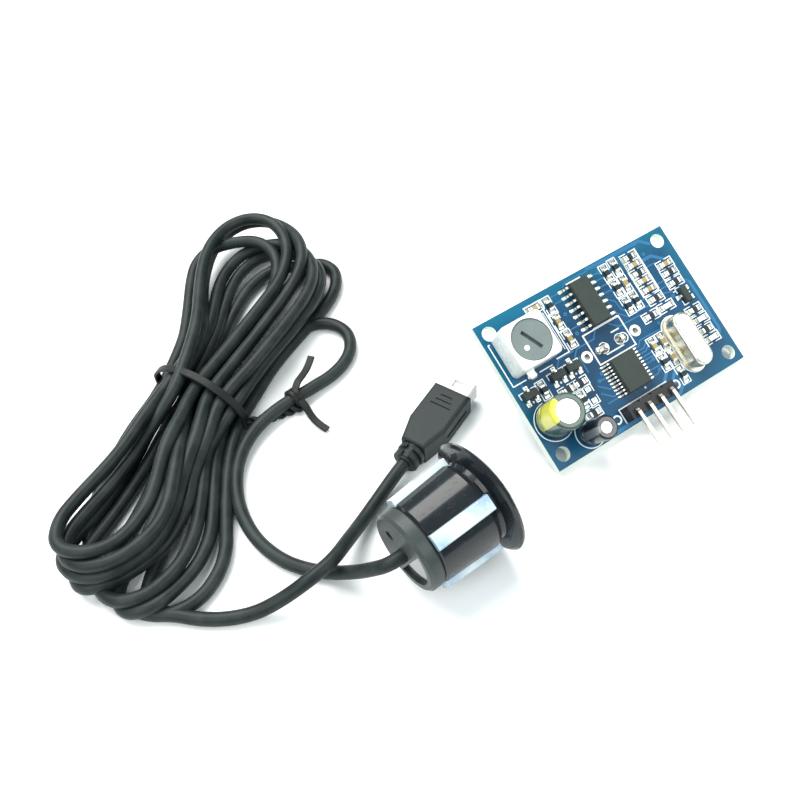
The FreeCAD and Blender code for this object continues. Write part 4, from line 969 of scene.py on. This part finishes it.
LIGHTS = (
    ("key_light", (-0.05, 0.42, 0.62), (0, 0.02, 0), (0.75, 0.55), 10.0, (1.0, 0.98, 0.95)),
    ("side_light", (-0.55, -0.1, 0.5), (0, 0, 0), (0.5, 0.5), 3.2, (1.0, 1.0, 1.0)),
    ("front_light", (0.35, -0.5, 0.55), (0, 0, 0), (0.6, 0.4), 3.6, (1.0, 1.0, 1.0)))


def build_table():
    """A plain white table with a faint grain, a white surround, and soft light from above and behind."""
    finish = Finish("table_white", specular_ior_level=0.2)
    cloud = finish.noise(14, 3)
    finish.feed("Base Color", finish.mix((0.88, 0.90, 0.90), (0.91, 0.92, 0.92), cloud))
    finish.feed("Roughness", 0.6 + cloud * 0.2)
    shape = Shape()
    shape.prism([(-1500, -1200), (1500, -1200), (1500, 2600), (-1500, 2600)], -5, -0.005)
    data = bpy.data.meshes.new("table")
    shape.mesh.to_mesh(data)
    shape.mesh.free()
    data.transform(Matrix.Scale(MM, 4))
    data.materials.append(finish.material)
    table = bpy.data.objects.new("table", data)
    bpy.context.scene.collection.objects.link(table)
    world = bpy.data.worlds.new("surround")
    world.use_nodes = True
    background = world.node_tree.nodes["Background"]
    background.inputs["Color"].default_value = (0.78, 0.97, 1.0, 1)
    background.inputs["Strength"].default_value = 0.36
    bpy.context.scene.world = world
    bpy.context.scene.view_settings.view_transform = "Standard"
    for light in LIGHTS:
        area_light(*light)


# ------------------------------------------------------------------ settings and operators
class SensorColours(bpy.types.PropertyGroup):
    """Colours of the board's coating."""

    mask: bpy.props.FloatVectorProperty(
        name="Mask", description="Solder mask over copper", subtype="COLOR", size=3,
        default=(0.008, 0.070, 0.155))
    mask_dark: bpy.props.FloatVectorProperty(
        name="Dark mask", description="Solder mask over bare laminate", subtype="COLOR", size=3,
        default=(0.005, 0.040, 0.09))
    # Painted light: a lighter, more teal mask laid near the board's edges, most on the far side.
    mask_painted_light: bpy.props.FloatVectorProperty(
        name="Rim", description="Mask towards the far edges", subtype="COLOR", size=3,
        default=(0.008, 0.13, 0.22))
    track: bpy.props.FloatVectorProperty(
        name="Tracks", description="Mask over a raised track", subtype="COLOR", size=3,
        default=(0.03, 0.17, 0.34))


class SensorView(bpy.types.PropertyGroup):
    """Where the camera stands and where it looks."""

    place: bpy.props.FloatVectorProperty(
        name="Place", description="Camera position", subtype="TRANSLATION", size=3, unit="LENGTH",
        default=(-0.07098, -0.07510, 0.14052))
    aim: bpy.props.FloatVectorProperty(
        name="Aim", description="Direction of view", subtype="DIRECTION", size=3,
        default=(0.301, 0.5419, -0.7847))
    up: bpy.props.FloatVectorProperty(
        name="Up", description="Direction of the picture's top", subtype="DIRECTION", size=3,
        default=(0.4662, 0.6342, 0.6168))
    lens: bpy.props.FloatProperty(
        name="Lens", description="Focal length in millimetres", default=45.0, min=10.0, max=200.0)


class SensorCable(bpy.types.PropertyGroup):
    """The cable's real length."""

    length: bpy.props.FloatProperty(
        name="Length", description="Length from the probe to the plug", subtype="DISTANCE", unit="LENGTH",
        default=1.445, min=0.2, max=5.0)


class SENSOR_OT_view(bpy.types.Operator):
    """Set up the camera"""

    bl_idname = "sensor.view"
    bl_label = "Camera"

    def execute(self, context):
        build_camera(context.scene.sensor_view)
        return {"FINISHED"}


class SENSOR_OT_stage(bpy.types.Operator):
    """Lay the table and light it"""

    bl_idname = "sensor.stage"
    bl_label = "Table and light"

    def execute(self, context):
        build_table()
        return {"FINISHED"}


class SENSOR_OT_finishes(bpy.types.Operator):
    """Make every finish and paint the carried-over pieces with theirs"""

    bl_idname = "sensor.finishes"
    bl_label = "Finishes"

    def execute(self, context):
        FINISHES.update(make_finishes(context.scene.sensor_colours))
        for part in frame["record"]["subparts"]:
            data = NODES[part["node"]].data
            data.materials.clear()
            data.materials.append(FINISHES[part["material_slot"]])
        return {"FINISHED"}


class SENSOR_OT_cable(bpy.types.Operator):
    """Lay the cable and tie its hank"""

    bl_idname = "sensor.cable"
    bl_label = "Cable and tie"

    def execute(self, context):
        exit_point, cable = build_cable()
        tie = build_tie()
        plug = [NODES[name] for name in ("plug_body", "plug_strain_relief", "plug_tip", "plug_contacts")]
        plug + tie
        return {"FINISHED"}


class SENSOR_OT_tracks(bpy.types.Operator):
    """Raise the copper tracks and vias under the board's mask"""

    bl_idname = "sensor.tracks"
    bl_label = "Tracks"

    def execute(self, context):
        build_tracks()
        build_underside()
        return {"FINISHED"}


class SENSOR_OT_print(bpy.types.Operator):
    """Print the board's white lines"""

    bl_idname = "sensor.print"
    bl_label = "Printed lines"

    def execute(self, context):
        build_print()
        return {"FINISHED"}


class SENSOR_OT_solder(bpy.types.Operator):
    """Add the pads and the solder on them"""

    bl_idname = "sensor.solder"
    bl_label = "Pads and solder"

    def execute(self, context):
        build_pads()
        build_solder()
        return {"FINISHED"}


class SENSOR_OT_core(bpy.types.Operator):
    """Dab the paint dot on the tuning core"""

    bl_idname = "sensor.core"
    bl_label = "Tuning core"

    def execute(self, context):
        build_core_dot()
        return {"FINISHED"}


STEPS = (SENSOR_OT_view, SENSOR_OT_finishes, SENSOR_OT_cable, SENSOR_OT_stage, SENSOR_OT_tracks,
         SENSOR_OT_print, SENSOR_OT_solder, SENSOR_OT_core)


class SENSOR_PT_panel(bpy.types.Panel):
    """Buttons for each group of pieces"""

    bl_idname = "SENSOR_PT_panel"
    bl_label = "Distance Sensor"
    bl_space_type = "VIEW_3D"
    bl_region_type = "UI"
    bl_category = "Sensor"

    def draw(self, context):
        for step in STEPS:
            self.layout.operator(step.bl_idname)
        for group, names in ((context.scene.sensor_colours, ("mask", "mask_dark", "mask_painted_light", "track")),
                             (context.scene.sensor_view, ("place", "aim", "up", "lens")),
                             (context.scene.sensor_cable, ("length",))):
            for name in names:
                self.layout.prop(group, name)


GROUPS = (("sensor_colours", SensorColours), ("sensor_view", SensorView), ("sensor_cable", SensorCable))


def register():
    for name, group in GROUPS:
        bpy.utils.register_class(group)
        setattr(bpy.types.Scene, name, bpy.props.PointerProperty(type=group))
    for step in STEPS + (SENSOR_PT_panel,):
        bpy.utils.register_class(step)


def unregister():
    for step in reversed(STEPS + (SENSOR_PT_panel,)):
        bpy.utils.unregister_class(step)
    for name, group in reversed(GROUPS):
        delattr(bpy.types.Scene, name)
        bpy.utils.unregister_class(group)


def main():
    register()
    for step in STEPS:
        group, name = step.bl_idname.split(".")
        getattr(getattr(bpy.ops, group), name)()


if __name__ == "__main__":
    main()
